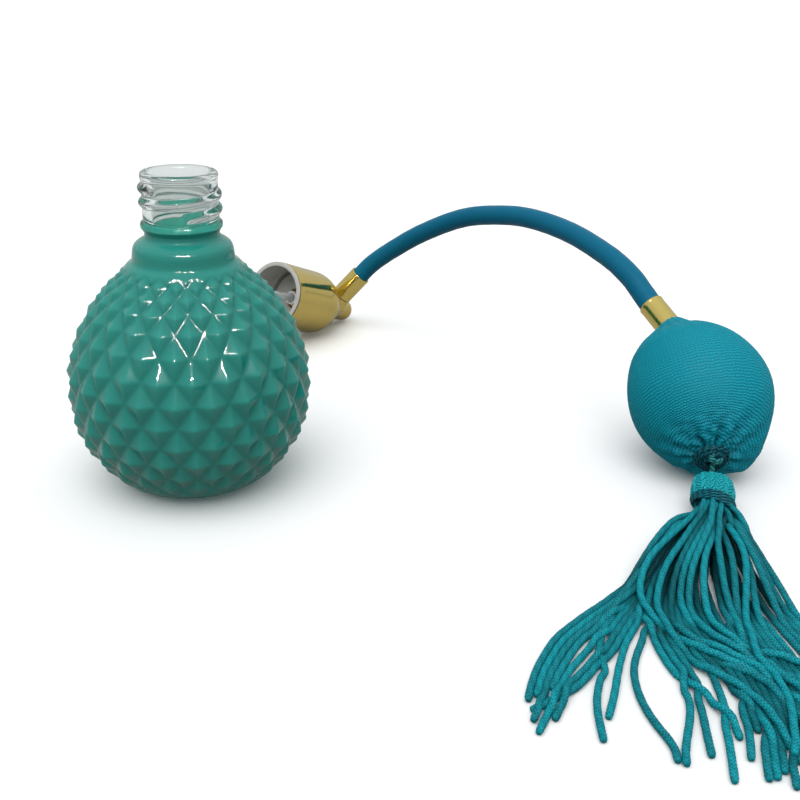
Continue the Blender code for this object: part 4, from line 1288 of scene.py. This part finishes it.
def openness(strands):
    """How open to the light each point of each strand is, from 0 under many others to 1."""
    spots = strands.reshape(-1, 3)
    owner = np.repeat(np.arange(len(strands)), strands.shape[1])
    flat = np.linalg.norm(spots[:, None, :2] - spots[None, :, :2], axis=2)
    above = spots[None, :, 2] - spots[:, None, 2]
    near = np.clip(1 - flat / SHADE_REACH, 0, 1) * np.clip((above - STRAND_R) / STRAND_R, 0, 1)
    near[owner[:, None] == owner[None, :]] = 0.0
    return 1 / (1 + SHADE_DEPTH * near.sum(axis=1).reshape(strands.shape[:2]))


def tassel_strands():
    looks = [yarn(f"strand_cord_{k + 1}", (0.001, 0.050 * gain, 0.068 * gain),
                  (0.002, 0.160 * gain, 0.200 * gain), (0.008, 0.340 * gain, 0.390 * gain),
                  2800.0, strand=True) for k, gain in enumerate((1.06, 1.24, 1.40))]
    names, drawn = drawn_strands()
    strands = settle(drawn)
    opened = openness(strands)
    for k, (name, points) in enumerate(zip(names, strands)):
        path = smooth_line(points, 400)
        share = np.linspace(0, 1, len(path))
        radius = STRAND_R * np.interp(share, [0, 0.06, 0.20, 0.992, 1.0], [0.78, 0.85, 1.0, 1.0, 0.80])
        piece = tube("strand_" + name, path, radius, looks[(k * 2) % 3], around=STRAND_SIDES,
                     shape=plaited, relief=braid)
        # Painted shade from the strands over each point, carried in the open attribute.
        light = np.interp(share, np.linspace(0, 1, len(points)), opened[k])
        values = np.ones(len(piece.data.vertices), np.float32)
        values[:len(path) * STRAND_SIDES] = np.repeat(light, STRAND_SIDES)
        piece.data.attributes.new("open", "FLOAT", "POINT").data.foreach_set("value", values)
        nodes = [STRAND_CAD[k]] if k < len(STRAND_CAD) else []
        hand_over(piece, "tassel", "teal_cord", *nodes)


# ---- carried-over pieces ----

def repaint(node, look):
    piece = frame["nodes"][node]
    piece.data.materials.clear()
    piece.data.materials.append(look)


def carried_over():
    brass = steel("brass_inside", (0.50, 0.38, 0.16), 0.28)
    bright = steel("valve_steel", (0.60, 0.60, 0.60), 0.16)
    white = plastic("moulded_white", (0.72, 0.715, 0.69))
    rubber = plastic("gasket_rubber", (0.42, 0.42, 0.39), 0.65)
    for node in ("nozzle_jet", "hose_barb"):
        repaint(node, brass)
    for node in ("valve_retainer", "inlet_valve_ball", "outlet_valve_ball"):
        repaint(node, bright)
    for node in ("pickup_stem", "bulb_nipple", "inlet_valve_body"):
        repaint(node, white)
    repaint("neck_gasket", rubber)
    repaint("nozzle_tip", gold("nozzle_gold", 0.14))


def main():
    place_camera()
    hose()
    tassel_strands()
    light_scene()
    lay_floor()
    bottle()
    cap()
    liner()
    core()
    knob()
    origin, along, arm = head_axes()
    sleeve("head_ferrule_skin", origin + along * ARM_AT, arm, along, HEAD_SLEEVE, "sprayer", "head_ferrule")
    dip_tube()
    sleeve("bulb_ferrule_skin", NECK, TO_FERRULE, (0, 0, 1), BULB_SLEEVE, "bulb", "bulb_ferrule")
    cover()
    bladder()
    tail_tie()
    tie_knot()
    tassel_loop()
    tassel_head()
    tassel_binding()
    carried_over()


main()
